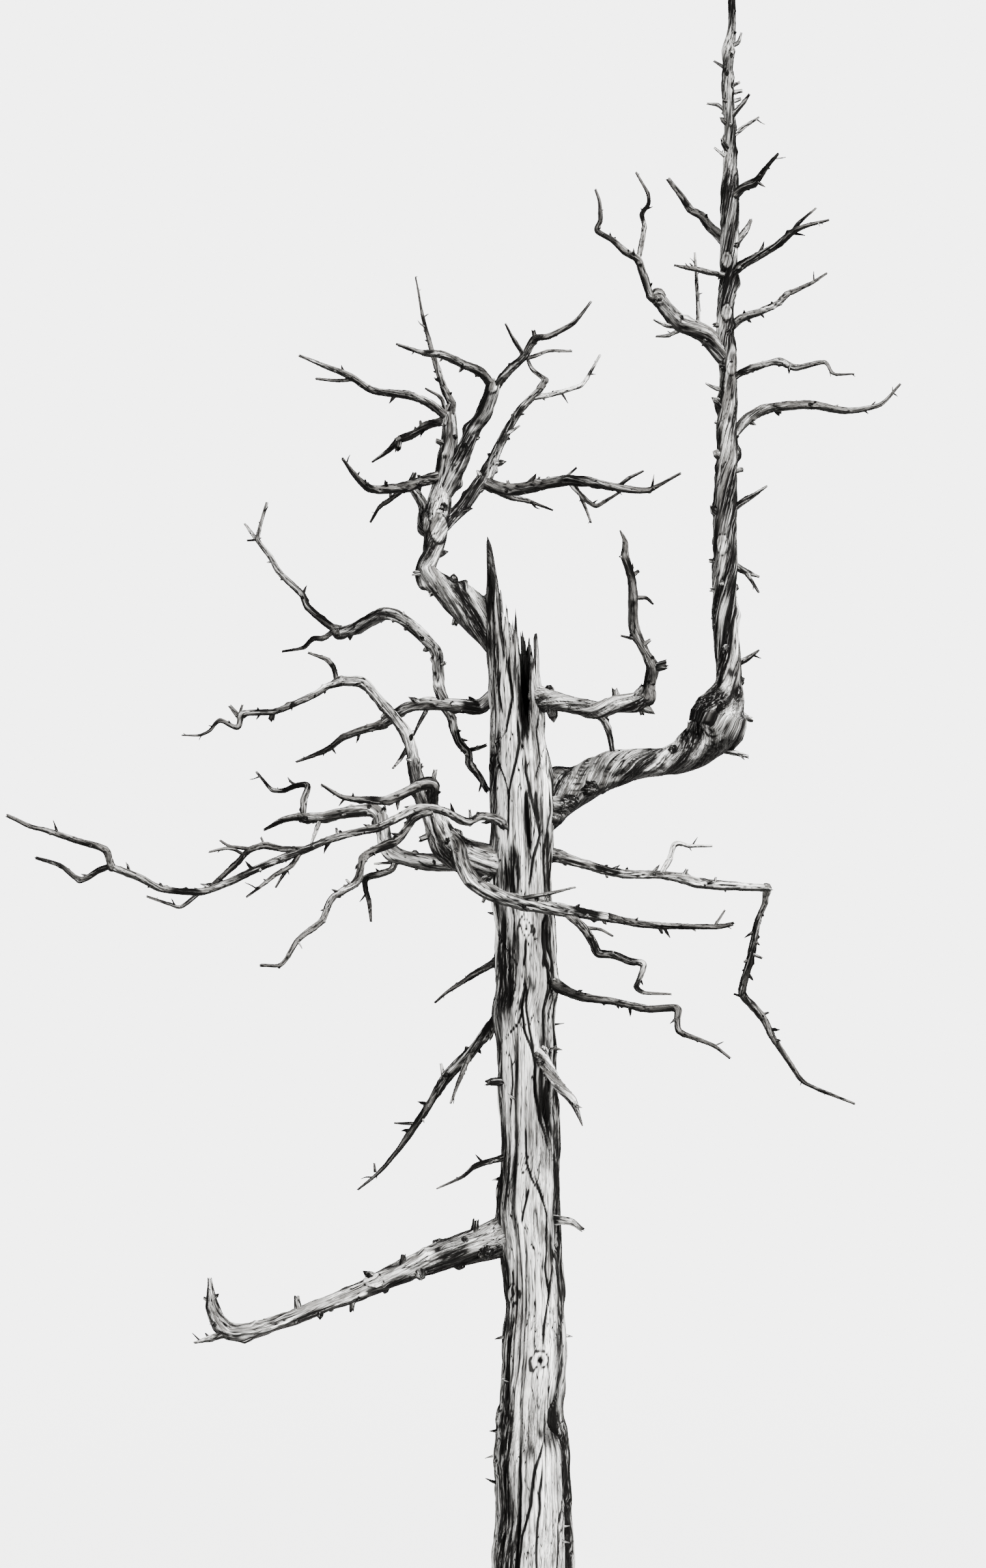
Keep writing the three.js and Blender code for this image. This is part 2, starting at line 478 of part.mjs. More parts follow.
plan('right_bough', 'trunk',
  strand([46, 24], [90, 210, 340, 460], [-40, 5560], [120, 5545, 38], [300, 5490, 28], [520, 5430, 26],
    [780, 5425, 26], [900, 5400, 34], [1000, 5370], [1250, 5350], [1420, 5340]),
  strand([16, 5], [50, 90], [770, 5425], [825, 5520], [865, 5612], [950, 5600], [1080, 5600]));
spray('right_dropping_twigs', 'right_bough',
  strand([19, 8], [60, 120, 190, 260], [1420, 5340], [1410, 5250], [1370, 5150], [1330, 4950],
    [1270, 4700, 24], [1330, 4620, 26], [1400, 4540], [1450, 4440], [1580, 4240], [1650, 4150],
    [1750, 4100], [1955, 4018]),
  strand([10, 4], [-30], [1300, 4665], [1222, 4690]));
spray('right_low_twigs', 'trunk',
  strand([64, 5], [-160, -330, -490, -640, -760], [-10, 4800], [120, 4745, 48], [200, 4710, 30],
    [300, 4670, 26], [500, 4640, 22], [700, 4600, 22], [870, 4600, 22], [872, 4530], [885, 4460, 18],
    [1020, 4405], [1100, 4370], [1192, 4300]));
plan('front_spike', 'trunk',
  strand([48, 4], [-190, -300, -400, -460], [-20, 4440], [60, 4270, 38], [150, 4120, 30], [230, 4030, 24],
    [290, 3880]));

spray('left_short_twigs', 'trunk',
  strand([27, 7], [90, 200, 310], [-180, 4920], [-350, 4828, 20], [-450, 4762], [-550, 4697], [-614, 4640]));
spray('left_drooping_twigs', 'trunk',
  strand([40, 7], [90, 190, 300, 420], [-158, 4635], [-306, 4448, 33], [-386, 4348, 32], [-535, 4188, 36],
    [-605, 4088, 27], [-665, 3988], [-786, 3812, 21], [-938, 3618], [-1086, 3492]),
  strand([17, 4], [-60, -90], [-388, 4348], [-462, 4175], [-520, 4022]),
  strand([11, 4], [50], [-732, 3895], [-862, 3898]));
spray('left_stub_twigs', 'trunk',
  strand([23, 5], [-80, -190, -290], [-130, 3700], [-292, 3658, 18], [-372, 3630], [-442, 3572],
    [-606, 3494]));
plan('lowest_left_bough', 'trunk',
  strand([128, 14], [-70, -170, -290, -400, -440], [-60, 3228], [-250, 3180, 108], [-500, 3104, 92],
    [-650, 3054, 80], [-950, 2920, 62], [-1250, 2798, 49], [-1500, 2700, 46], [-1750, 2620, 48],
    [-1870, 2622, 50], [-1946, 2690, 43], [-1984, 2785, 36], [-1998, 2935]),
  strand([22, 5], [-40], [-1890, 2610], [-2000, 2574], [-2092, 2550]));

plan('back_high_bough', 'trunk',
  strand([70, 30], [260, 480, 700, 900], [-90, 5640], [-130, 5800, 60], [-60, 5960, 48], [-110, 6130, 40],
    [-90, 6290]));
spray('back_high_twigs', 'back_high_bough',
  strand([24, 5], [60, 130, 210], [-90, 6290], [-130, 6400], [-190, 6560], [-170, 6700]),
  strand([15, 4], [110, 230], [-105, 6320], [-40, 6440], [-70, 6590]),
  strand([13, 4], [-30, 120], [-140, 6430], [-210, 6420], [-235, 6360]));
plan('back_low_bough', 'trunk',
  strand([66, 28], [280, 520, 760, 960], [-40, 3990], [-10, 4110, 54], [-70, 4240, 44], [-20, 4370, 36],
    [-60, 4470]));
spray('back_low_twigs', 'back_low_bough',
  strand([23, 5], [80, 170, 260], [-60, 4470], [-100, 4560], [-50, 4700], [-90, 4830]),
  strand([15, 4], [120, 220], [-75, 4510], [0, 4600], [60, 4620]),
  strand([13, 4], [60, 190], [-95, 4580], [-160, 4640], [-190, 4760]));

// Course of a strand: its bends with their depth and girth, in the picture plane and in space.
function course(piece, root, draw) {
  const runs = [0];
  for (let i = 1; i < piece.bends.length; i += 1) {
    const [from, to] = [piece.bends[i - 1], piece.bends[i]];
    runs.push(runs[i - 1] + Math.hypot(to[0] - from[0], to[1] - from[1]));
  }
  const total = runs[runs.length - 1];
  const known = piece.bends.map((bend) => bend[2]);
  known[0] = piece.girth[0];
  known[known.length - 1] = piece.girth[1];
  return piece.bends.map(([x, z], i) => {
    let [low, high] = [i, i];
    while (known[low] === undefined) low -= 1;
    while (known[high] === undefined) high += 1;
    const share = high > low ? (runs[i] - runs[low]) / (runs[high] - runs[low]) : 0;
    const girth = known[low] + (known[high] - known[low]) * share;
    const swing = i ? (draw() - 0.5) * SWAY * (runs[i] - runs[i - 1]) : 0;
    const depth = root + stepped(piece.depth, runs[i] / total) + swing;
    return { x, z, depth, girth, at: alongSight(x, z, depth) };
  });
}

// Depth of the nearest point on the courses, measured in the picture plane.
function nearestDepth(courses, x, z) {
  let best = { gap: Infinity, depth: 0 };
  for (const points of courses) {
    for (let i = 1; i < points.length; i += 1) {
      const [from, to] = [points[i - 1], points[i]];
      const [dx, dz] = [to.x - from.x, to.z - from.z];
      const spot = ((x - from.x) * dx + (z - from.z) * dz) / (dx * dx + dz * dz);
      const share = Math.min(Math.max(spot, 0), 1);
      const gap = Math.hypot(from.x + dx * share - x, from.z + dz * share - z);
      if (gap < best.gap) best = { gap, depth: from.depth + (to.depth - from.depth) * share };
    }
  }
  return best.depth;
}

// A strand that goes on from the cut end of its parent starts inside it, and thinner.
function growOn(points, parent) {
  const trail = parent[0];
  const [before, end] = [trail[trail.length - 2], trail[trail.length - 1]];
  if (Math.hypot(points[0].x - end.x, points[0].z - end.z) > 5) return points;
  const back = before.at.clone().sub(end.at).setLength(end.girth * 1.2);
  const girth = Math.min(points[0].girth, end.girth * NARROWER);
  const inside = { ...points[0], girth, at: end.at.clone().add(back) };
  return [inside, { ...points[0], girth }, ...points.slice(1)];
}

function limbCourses(entry, parent) {
  const draw = seededDraws(entry.name);
  const courses = [];
  for (const piece of entry.strands) {
    const [x, z] = piece.bends[0];
    const from = courses.length ? courses : parent;
    const points = course(piece, from ? nearestDepth(from, x, z) : 0, draw);
    courses.push(courses.length || !parent ? points : growOn(points, parent));
  }
  return courses;
}

// A closed tube of straight sides through the points, a little wider where it bends sharply.
function tube(points, sides, grow) {
  const count = points.length;
  const even = Math.sqrt(2 * Math.PI / (sides * Math.sin(2 * Math.PI / sides)));
  const spans = [];
  for (let i = 1; i < count; i += 1) spans.push(points[i].at.clone().sub(points[i - 1].at).normalize());
  const side = new THREE.Vector3(0.31, -0.86, 0.4);
  const rings = [];
  const pointed = points[count - 1].girth < POINTED;
  for (let i = 0; i < count; i += 1) {
    const before = spans[Math.max(i - 1, 0)];
    const after = spans[Math.min(i, count - 2)];
    const along = before.clone().add(after).normalize();
    side.addScaledVector(along, -side.dot(along)).normalize();
    const across = new THREE.Vector3().crossVectors(along, side);
    const centre = points[i].at.clone();
    if (i === count - 1) centre.addScaledVector(along, pointed ? grow * 4 : grow);
    if (i === count - 1 && pointed) {
      rings.push([centre]);
      break;
    }
    const wider = Math.min(1 / Math.max(before.dot(along), 0.1), 1.22);
    const radius = (points[i].girth + grow) * even * wider;
    rings.push(Array.from({ length: sides }, (_, k) => {
      const turn = 2 * Math.PI * k / sides;
      return centre.clone().addScaledVector(side, radius * Math.cos(turn))
        .addScaledVector(across, radius * Math.sin(turn));
    }));
  }
  return tubeSolid(rings, sides);
}

function tubeSolid(rings, sides) {
  const faces = [];
  for (let k = 2; k < sides; k += 1) faces.push([0, k, k - 1]);
  for (let ring = 0; ring < rings.length - 1; ring += 1) {
    const base = ring * sides;
    for (let k = 0; k < sides; k += 1) {
      const next = (k + 1) % sides;
      if (rings[ring + 1].length === 1) {
        faces.push([base + k, base + next, base + sides]);
      } else {
        faces.push([base + k, base + next, base + sides + next], [base + k, base + sides + next, base + sides + k]);
      }
    }
  }
  const top = (rings.length - 1) * sides;
  if (rings[rings.length - 1].length > 1) {
    for (let k = 2; k < sides; k += 1) faces.push([top, top + k - 1, top + k]);
  }
  return closedSolid(rings.flat(), faces);
}

function sidesFor(girth) {
  if (girth > 60) return 8;
  if (girth > 34) return 6;
  return girth > 18 ? 4 : 3;
}

function joined(courses, grow) {
  let solid = null;
  for (const points of courses) {
    const widest = Math.max(...points.map((point) => point.girth));
    const piece = tube(points, sidesFor(widest), grow);
    solid = solid ? solid.add(piece) : piece;
  }
  return solid;
}

function clearOfOthers(tip, name, courseOf) {
  for (const [other, courses] of courseOf) {
    if (other === name) continue;
    for (const points of courses) {
      for (let i = 1; i < points.length; i += 1) {
        const line = new THREE.Line3(points[i - 1].at, points[i].at);
        const gap = line.closestPointToPoint(tip, true, new THREE.Vector3()).distanceTo(tip);
        if (gap < Math.max(points[i - 1].girth, points[i].girth) + SPUR_AIR) return false;
      }
    }
  }
  const [left, right] = trunkEdges(tip.z);
  return Math.hypot(tip.x - (left + right) / 2, tip.y) > (right - left) / 2 + SPUR_AIR;
}

// Spurs stand off a strand at seeded steps, and are skipped where they would touch a limb.
function spurCourses(entry, courseOf, space) {
  const draw = seededDraws(`${entry.name} spurs`);
  const between = (low, high) => low + (high - low) * draw();
  const spurs = [];
  for (const points of courseOf.get(entry.name)) {
    let ahead = between(SPUR.stepMin, SPUR.stepMax);
    for (let i = 1; i < points.length; i += 1) {
      const [from, to] = [points[i - 1], points[i]];
      const along = to.at.clone().sub(from.at);
      const length = along.length();
      along.normalize();
      while (ahead < length) {
        const girth = from.girth + (to.girth - from.girth) * ahead / length;
        const foot = from.at.clone().addScaledVector(along, ahead);
        const lean = THREE.MathUtils.degToRad(between(SPUR.leanMin, SPUR.leanMax));
        const turn = between(0, 2 * Math.PI);
        const side = new THREE.Vector3(0, 1, 0).cross(along).normalize().applyAxisAngle(along, turn);
        const way = along.clone().multiplyScalar(Math.cos(lean)).addScaledVector(side, Math.sin(lean));
        const reach = girth + between(SPUR.reachMin, SPUR.reachMax);
        const tip = foot.clone().addScaledVector(way, reach);
        const thin = Math.max(girth * SPUR.share, 3.5);
        if (girth > 7 && space.containsPoint(tip) && clearOfOthers(tip, entry.name, courseOf)) {
          spurs.push([{ at: foot, girth: thin }, { at: tip, girth: 2 }]);
        }
        ahead += between(SPUR.stepMin, SPUR.stepMax);
      }
      ahead -= length;
    }
  }
  return spurs;
}

function largest(solid) {
  const pieces = solid.decompose();
  return pieces.reduce((best, piece) => (piece.volume() > best.volume() ? piece : best));
}

function boxesMeet(a, b) {
  const [p, q] = [a.boundingBox(), b.boundingBox()];
  return [0, 1, 2].every((axis) => p.min[axis] < q.max[axis] && q.min[axis] < p.max[axis]);
}

function namedMesh(name, solid, look) {
  const { vertProperties, triVerts } = solid.getMesh();
  const geometry = new THREE.BufferGeometry();
  geometry.setAttribute('position', new THREE.BufferAttribute(vertProperties, 3));
  geometry.setIndex(new THREE.BufferAttribute(triVerts, 1));
  geometry.computeVertexNormals();
  const mesh = new THREE.Mesh(geometry, new THREE.MeshStandardMaterial(LOOKS[look]));
  mesh.name = name;
  return mesh;
}

// Two short broken stubs stay on the trunk.
function trunkStubs() {
  const right = [
    { at: new THREE.Vector3(60, -30, 3290), girth: 34 },
    { at: new THREE.Vector3(215, -60, 3270), girth: 22 },
    { at: new THREE.Vector3(282, -75, 3250), girth: 12 },
  ];
  const left = [
    { at: new THREE.Vector3(-160, -40, 4165), girth: 24 },
    { at: new THREE.Vector3(-284, -70, 4160), girth: 13 },
  ];
  return tube(right, 6, 0).add(tube(left, 5, 0));
}

// Where a limb leaves the trunk, the trunk swells in proportion to its girth.
function addCollar(points) {
  for (let step = 0; step <= 200; step += 1) {
    const spot = step / 200 * (points.length - 1);
    const low = Math.min(Math.floor(spot), points.length - 2);
    const at = points[low].at.clone().lerp(points[low + 1].at, spot - low);
    const girth = points[low].girth + (points[low + 1].girth - points[low].girth) * (spot - low);
    const { half, middle } = trunkSection(at.z);
    if (Math.hypot(at.x - middle, at.y / TRUNK_DEPTH) > half) {
      const bearing = THREE.MathUtils.radToDeg(Math.atan2(at.y / TRUNK_DEPTH, at.x - middle));
      const spread = girth * COLLAR.spread;
      if (girth >= COLLAR.from) worn.push([bearing, at.z, spread, spread / 0.75, COLLAR.share * girth]);
      return;
    }
  }
}

function crown() {
  const courseOf = new Map();
  for (const entry of limbs) {
    courseOf.set(entry.name, limbCourses(entry, courseOf.get(entry.parent)));
    if (entry.parent === 'trunk') addCollar(courseOf.get(entry.name)[0]);
  }
  const space = new THREE.Box3();
  for (const courses of courseOf.values()) {
    for (const points of courses) for (const point of points) space.expandByPoint(point.at);
  }
  const group = new THREE.Group();
  const trunk = largest(trunkBody(0, true).add(trunkStubs()));
  group.add(namedMesh('trunk', trunk, 'trunk'));
  const standing = [trunkBody(CLEAR, false).add(trunkBody(CLEAR, true))];
  for (const entry of limbs) {
    const courses = [...courseOf.get(entry.name), ...spurCourses(entry, courseOf, space)];
    let solid = joined(courses, 0);
    for (const other of standing) if (boxesMeet(solid, other)) solid = solid.subtract(other);
    solid = largest(solid);
    group.add(namedMesh(entry.name, solid, entry.look));
    standing.push(joined(courses, CLEAR));
  }
  return group;
}

const group = crown();
export default group;
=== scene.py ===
"""Dead conifer: the looks round its solid frame.

The trunk, the boughs and the twigs are grown again from the sizes of the frame, finer and with
their bark gone: twisted grain, cracks, knots, hollows, broken ends and short dead spurs.
"""
import json
import math
from functools import partialmethod
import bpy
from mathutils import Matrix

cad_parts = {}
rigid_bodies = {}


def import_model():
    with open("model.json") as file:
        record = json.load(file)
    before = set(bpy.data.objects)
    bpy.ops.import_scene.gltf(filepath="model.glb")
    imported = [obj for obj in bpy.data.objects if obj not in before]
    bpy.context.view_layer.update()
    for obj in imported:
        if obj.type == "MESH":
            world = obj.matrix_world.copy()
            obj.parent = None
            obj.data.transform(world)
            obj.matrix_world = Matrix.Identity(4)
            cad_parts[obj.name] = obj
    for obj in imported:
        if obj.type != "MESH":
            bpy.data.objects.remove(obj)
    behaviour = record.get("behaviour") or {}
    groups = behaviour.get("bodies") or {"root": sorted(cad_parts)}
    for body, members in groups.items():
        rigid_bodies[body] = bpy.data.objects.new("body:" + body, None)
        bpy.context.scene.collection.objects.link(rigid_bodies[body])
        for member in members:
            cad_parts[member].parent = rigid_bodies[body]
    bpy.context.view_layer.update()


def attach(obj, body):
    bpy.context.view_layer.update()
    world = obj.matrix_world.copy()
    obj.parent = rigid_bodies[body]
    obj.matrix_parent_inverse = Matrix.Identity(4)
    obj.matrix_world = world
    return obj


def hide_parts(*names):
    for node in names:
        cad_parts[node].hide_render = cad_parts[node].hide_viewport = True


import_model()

from types import SimpleNamespace as Sizes

import bmesh
import bpy
import numpy as np
from numpy import array, concatenate, cos, hypot, interp, linspace, maximum, minimum, radians, sin
from numpy.linalg import norm
from mathutils import Quaternion, Vector

bl_info = {
    "name": "Dead conifer",
    "version": (1, 0, 0),
    "blender": (4, 5, 0),
    "location": "3D View > Sidebar > Dead tree",
    "description": "Grows a bare, weathered conifer with a splintered trunk",
    "category": "Add Mesh",
}

MM = 0.001
# The bends of the limb table are given in millimetres, as they line up from a viewing place in
# front of the tree. A bend nearer or further off is moved along its line of sight.
VIEW = {"x": -0.260, "z": 5.976, "away": 28.0}
# How far a bend may stray in depth, as a share of the run that leads to it.
SWAY = 0.22
# A slim strand keeps its girth for longer than the solid frame's straight taper, and ends blunt.
SLIM = Sizes(under=0.065, root=1.08, tip=1.5, least=0.007)
# How far the first bends of these boughs lie back, so that they leave the trunk's edge and not its front.
SET_BACK = {"upper_left_bough": (0.065, 0.045, 0.020), "lowest_left_bough": (0.085, 0.055, 0.020),
            "arch_bough": (0.045, 0.030, 0.010)}
# Trunk in millimetres: height, left edge and right edge.
TRUNK_EDGES = [
    (0, -405, 405), (120, -368, 362), (300, -330, 320), (600, -295, 282), (1200, -268, 245),
    (1500, -243, 228), (1800, -258, 212), (2200, -220, 176), (2500, -201, 199), (2800, -181, 180),
    (3050, -192, 166), (3400, -228, 156), (3750, -210, 155), (4250, -232, 138), (4600, -258, 121),
    (4740, -247, 150), (5000, -250, 122), (5500, -255, 92), (6000, -284, 78), (6350, -276, 50),
    (6700, -284, 22), (7000, -297, 6), (7480, -300, -10),
]
# Flutes of the trunk's section: how many, share of the radius, first bearing in degrees.
FLUTES = [(3, 0.045, 20), (5, 0.036, 130), (8, 0.022, 75)]
# Ropes of weathered wood: share of the radius, how many across, how many in a metre, seed.
ROPES = [(0.058, 2.3, 0.62, 3), (0.034, 4.2, 0.75, 11), (0.042, 1.4, 2.6, 29)]
# Degrees that the flutes and ropes turn in each metre of height.
TRUNK_TWIST = 8.0
BUTTRESS = Sizes(count=5, share=0.12, fade=0.330, bearing=40)
TRUNK_DEPTH = 0.94
HOLLOW = Sizes(floor=6.230, rim=6.560, wall=0.050, lip=0.014)
SHEAR_FROM = 6.050
# Splinters: bearing in degrees (0 right, 90 back, 180 left), tip height in mm, half width.
SPLINTERS = [
    (180, 7475, 52), (157.5, 7320, 30), (142.5, 7190, 24), (120, 7205, 24), (90, 7010, 22),
    (67.5, 6925, 22), (45, 6850, 20), (7.5, 6800, 22), (-22.5, 6920, 26), (-45, 6720, 16),
    (-82.5, 7070, 21), (-105, 7070, 19), (-135, 7200, 22), (-157.5, 7320, 30),
]
CLEFT = Sizes(bearing=-67.5, half_width=15, floor=6.330)
FRAME_COLUMNS = 48

# Cracks on the front of the trunk: half width and depth in mm, then places (across, height).
FRONT_CRACKS = [
    (9, 20, [(-20, 3650), (20, 3500), (70, 3350), (66, 3150), (54, 3030), (80, 2880), (52, 2670),
        (34, 2490)]),
    (7, 14, [(-58, 3900), (-56, 3780), (-60, 3670), (-22, 3570), (20, 3480)]),
    (8, 16, [(-88, 3290), (-68, 3400), (-38, 3520)]),
    (11, 24, [(172, 3190), (112, 3050), (92, 2900), (72, 2790)]),
    (8, 15, [(-150, 3050), (-146, 2920), (-150, 2830), (-138, 2700), (-158, 2560), (-170, 2380)]),
    (16, 30, [(160, 2260), (92, 2150), (88, 2070), (185, 1950)]),
    (9, 16, [(86, 2070), (42, 1950), (-8, 1790), (-28, 1590), (-88, 1390), (-108, 1170), (-110, 900),
        (-128, 500)]),
    (12, 22, [(-108, 2040), (-98, 1900), (-94, 1700), (-110, 1450), (-120, 1170), (-140, 800), (-170, 350)]),
    (9, 15, [(-205, 2020), (-190, 1800), (-200, 1500), (-215, 1200), (-240, 800), (-270, 300)]),
    (9, 15, [(192, 1930), (172, 1660), (140, 1450), (132, 1200), (150, 800), (185, 300)]),
    (11, 20, [(152, 1600), (196, 1420), (228, 1180), (240, 850), (290, 350)]),
    (8, 14, [(40, 1900), (30, 1700), (10, 1500), (0, 1250), (20, 950), (30, 500)]),
    (9, 17, [(-78, 4860), (-88, 4630), (-72, 4490), (-30, 4380), (2, 4260), (0, 4120), (22, 3930), (90, 3760),
        (130, 3660)]),
    (8, 15, [(-88, 4600), (-110, 4520), (-188, 4430), (-238, 4380)]),
    (8, 15, [(-68, 4790), (-58, 4590), (-8, 4330)]),
    (18, 34, [(36, 4400), (50, 4150), (62, 3960), (110, 3780)]),
    (14, 28, [(95, 4300), (102, 4100), (108, 3930), (122, 3800)]),
    (8, 15, [(-228, 5090), (-188, 4970), (-125, 4890)]),
    (20, 32, [(48, 5160), (56, 5060), (62, 4960), (46, 4850)]),
    (8, 14, [(92, 4920), (72, 4780), (98, 4660), (70, 4500)]),
    (9, 16, [(-60, 5050), (-64, 4950), (-82, 4860)]),
    (7, 12, [(-160, 4330), (-150, 4150), (-165, 3950), (-150, 3800)]),
    (10, 20, [(-160, 6790), (-168, 6700), (-150, 6600), (-140, 6510), (-163, 6410), (-186, 6300),
        (-248, 6230), (-268, 6180)]),
    (9, 18, [(-117, 6420), (-102, 6230), (-125, 6110), (-156, 6000), (-171, 5900), (-171, 5730),
        (-180, 5600)]),
    (8, 15, [(-240, 6230), (-232, 6110), (-188, 5980), (-163, 5890)]),
    (9, 17, [(-63, 6190), (-63, 6050), (-48, 5980), (-4, 5780), (14, 5670), (-16, 5520), (-40, 5310)]),
    (13, 26, [(-58, 5960), (-56, 5830), (-40, 5700), (-30, 5560)]),
    (8, 16, [(-12, 5950), (-6, 5840), (8, 5740)]),
    (7, 14, [(14, 6520), (-2, 6290), (14, 6130), (-24, 5990)]),
    (8, 14, [(50, 6300), (44, 6050), (60, 5800), (40, 5560), (52, 5300)]),
    (16, 30, [(-70, 6560), (-72, 6420), (-68, 6320), (-78, 6230)]),
    (8, 14, [(-215, 6700), (-228, 6560), (-205, 6400)]),
]
# Hollows on the front of the trunk: across, height, half width, half height and depth in mm, and how dark the
# painted shade is inside.
FRONT_HOLLOWS = [
    (132, 2100, 86, 135, 28, 1.0), (78, 4010, 80, 300, 26, 0.95), (-190, 1560, 52, 460, 14, 0.35),
    (56, 5050, 48, 110, 24, 0.9), (-72, 6440, 36, 170, 24, 0.85), (-176, 5410, 50, 120, 14, 0.6),
    (205, 1330, 40, 260, 16, 0.4), (-60, 5760, 34, 200, 16, 0.6), (28, 2462, 26, 34, 24, 0.9),
    (-79, 6212, 13, 17, 34, 1.0), (-266, 6080, 26, 70, 12, 0.9), (-240, 2780, 16, 120, 6, 0.5),
]
# Dark strips on the front of the trunk, painted shade that is partly stain, with a painted shadow under the
# crossing bough: across, height, half width and half height in mm, how dark.
FRONT_SHADE_AND_STAINS = [
    (-214, 900, 150, 1220, 1.0), (-196, 1950, 84, 420, 0.95), (-178, 2480, 60, 400, 0.85),
    (-110, 1300, 20, 700, 0.7), (218, 1000, 96, 800, 1.0), (160, 1480, 26, 420, 0.5),
    (150, 2110, 90, 190, 1.0), (150, 2650, 60, 430, 0.85), (104, 3130, 60, 180, 1.0),
    (90, 4160, 92, 560, 1.0), (-176, 3580, 84, 340, 0.85), (-176, 4820, 135, 470, 1.0),
    (84, 4880, 60, 380, 0.95), (-158, 5440, 84, 200, 1.0), (-238, 6150, 50, 210, 1.0),
    (50, 5620, 50, 340, 0.85), (-46, 5680, 30, 380, 0.8), (-72, 6480, 46, 260, 1.0),
    (-228, 5300, 36, 430, 0.75), (-240, 6850, 40, 430, 0.8), (22, 6500, 34, 220, 0.8),
    (-128, 6640, 18, 220, 0.7), (-122, 6990, 34, 170, 0.9), (-10, 6250, 22, 240, 0.5),
    (-150, 5900, 26, 260, 0.5),
]
# Knots on the front of the trunk: across, height and radius in mm.
FRONT_KNOTS = [
    (-140, 2866, 30), (-60, 3668, 22), (-58, 5095, 26), (28, 2465, 34), (-236, 2105, 34), (-250, 1800, 30),
    (236, 1570, 30), (-262, 6090, 30), (176, 2035, 24), (178, 4740, 30),
]

# Heights in mm of the short points on the trunk's left edge.
LEFT_NUBS = (5180, 3560, 2010, 1860, 1690, 2590, 3270)

# Limbs. A strand is one tapering run of wood: girth (radius) at its two ends, depth in even steps
# from where it springs, then its bends as (across, height), with the girth there where it swells.
LIMBS = {}
# Pieces and the limbs that each of them is made of.
PIECES = {}


def strand(thick, thin, depth, *bends):
    return {"girth": (thick, thin), "depth": [0, *depth], "bends": bends}


def limb(side, name, parent, *strands):
    LIMBS[name] = {"parent": parent, "strands": [strand(*values) for values in strands]}
    kind = "_twigs" if "twigs" in name else "_boughs"
    PIECES.setdefault(side + kind, []).append(name)


limb("leader", "right_arm", "trunk",
  (168, 96, [100, 200], [-30, 5790], [100, 5890, 142], [250, 5965, 120], [420, 6055, 106], [600, 6106, 90],
    [750, 6116, 82], [900, 6158, 86], [1060, 6270]),
  (22, 8, [-30], [1060, 6215], [1160, 6188], [1300, 6150]))

limb("leader", "right_leader", "right_arm",
  (62, 3, [20, 40, 60], [1106, 6202], [1118, 6248, 104], [1129, 6330, 138], [1136, 6405, 142],
    [1165, 6490, 104], [1185, 6600, 79], [1184, 6720, 76], [1165, 7000, 75], [1172, 7250, 72],
    [1170, 7600, 70], [1178, 7950, 70], [1175, 8150, 62], [1184, 8450, 56], [1166, 8750, 52],
    [1168, 8920, 50], [1185, 9100, 56], [1197, 9350, 57], [1197, 9600, 56], [1195, 9750, 43],
    [1196, 10000, 38], [1178, 10300, 33], [1187, 10480, 41], [1208, 10620, 25], [1205, 10850, 20],
    [1207, 11050]),
  (22, 4, [-60], [1184, 6700], [1290, 6745], [1370, 6800]),
  (24, 5, [60, 80], [1180, 7345], [1300, 7282], [1370, 7255]),
  (14, 4, [-20], [1290, 7288], [1370, 7160]),
  (22, 5, [-50, -90], [1180, 7650], [1300, 7730], [1420, 7810]),
  (24, 8, [60], [1200, 9260], [1290, 9380], [1322, 9440]),
  (14, 4, [-30], [1196, 9810], [1105, 9885]),
  (15, 4, [40, 60], [1196, 9945], [1270, 10010], [1370, 10075]),
  (18, 5, [-50], [1190, 10060], [1280, 10170], [1312, 10215]),
  (14, 4, [60, 70], [1185, 10100], [1120, 10152], [1060, 10160]),
  (14, 5, [30], [1180, 10370], [1100, 10420]))

limb("leader", "leader_twigs_top_right", "right_leader",
  (26, 5, [-70, -150, -240], [1197, 9560], [1270, 9640], [1350, 9682], [1420, 9770], [1490, 9850]))
limb("leader", "leader_twigs_top_left", "right_leader",
  (28, 9, [110, 200, 260], [1192, 9276], [1066, 9408], [1020, 9470], [950, 9510], [890, 9600], [820, 9692]))
limb("leader", "leader_twigs_high_right", "right_leader",
  (25, 4, [-80, -190, -290, -340], [1185, 9090], [1280, 9180], [1380, 9230], [1500, 9300], [1580, 9370],
    [1660, 9410], [1800, 9445]),
  (12, 4, [-20, -10], [1565, 9357], [1620, 9430], [1720, 9515]))
limb("leader", "leader_twigs_high_left", "right_leader",
  (20, 5, [-150, -300], [1185, 9100], [1050, 9128], [1000, 9142], [930, 9154], [860, 9166]))
limb("leader", "leader_twigs_mid_right", "right_leader",
  (23, 5, [120, 240, 380], [1165, 8750], [1260, 8840], [1400, 8890], [1500, 8940], [1550, 8990], [1700, 9060],
    [1785, 9115]))
limb("leader", "leader_twigs_low_right", "right_leader",
  (21, 5, [-100, -200, -280], [1184, 8450], [1270, 8510], [1380, 8550], [1500, 8575, 24], [1600, 8540],
    [1780, 8570], [1830, 8502], [1960, 8500]))
limb("leader", "leader_twigs_long_right", "right_leader",
  (30, 5, [120, 260, 400, 520], [1175, 8060], [1280, 8210], [1430, 8290], [1700, 8310], [1900, 8275],
    [2120, 8310], [2240, 8435]))

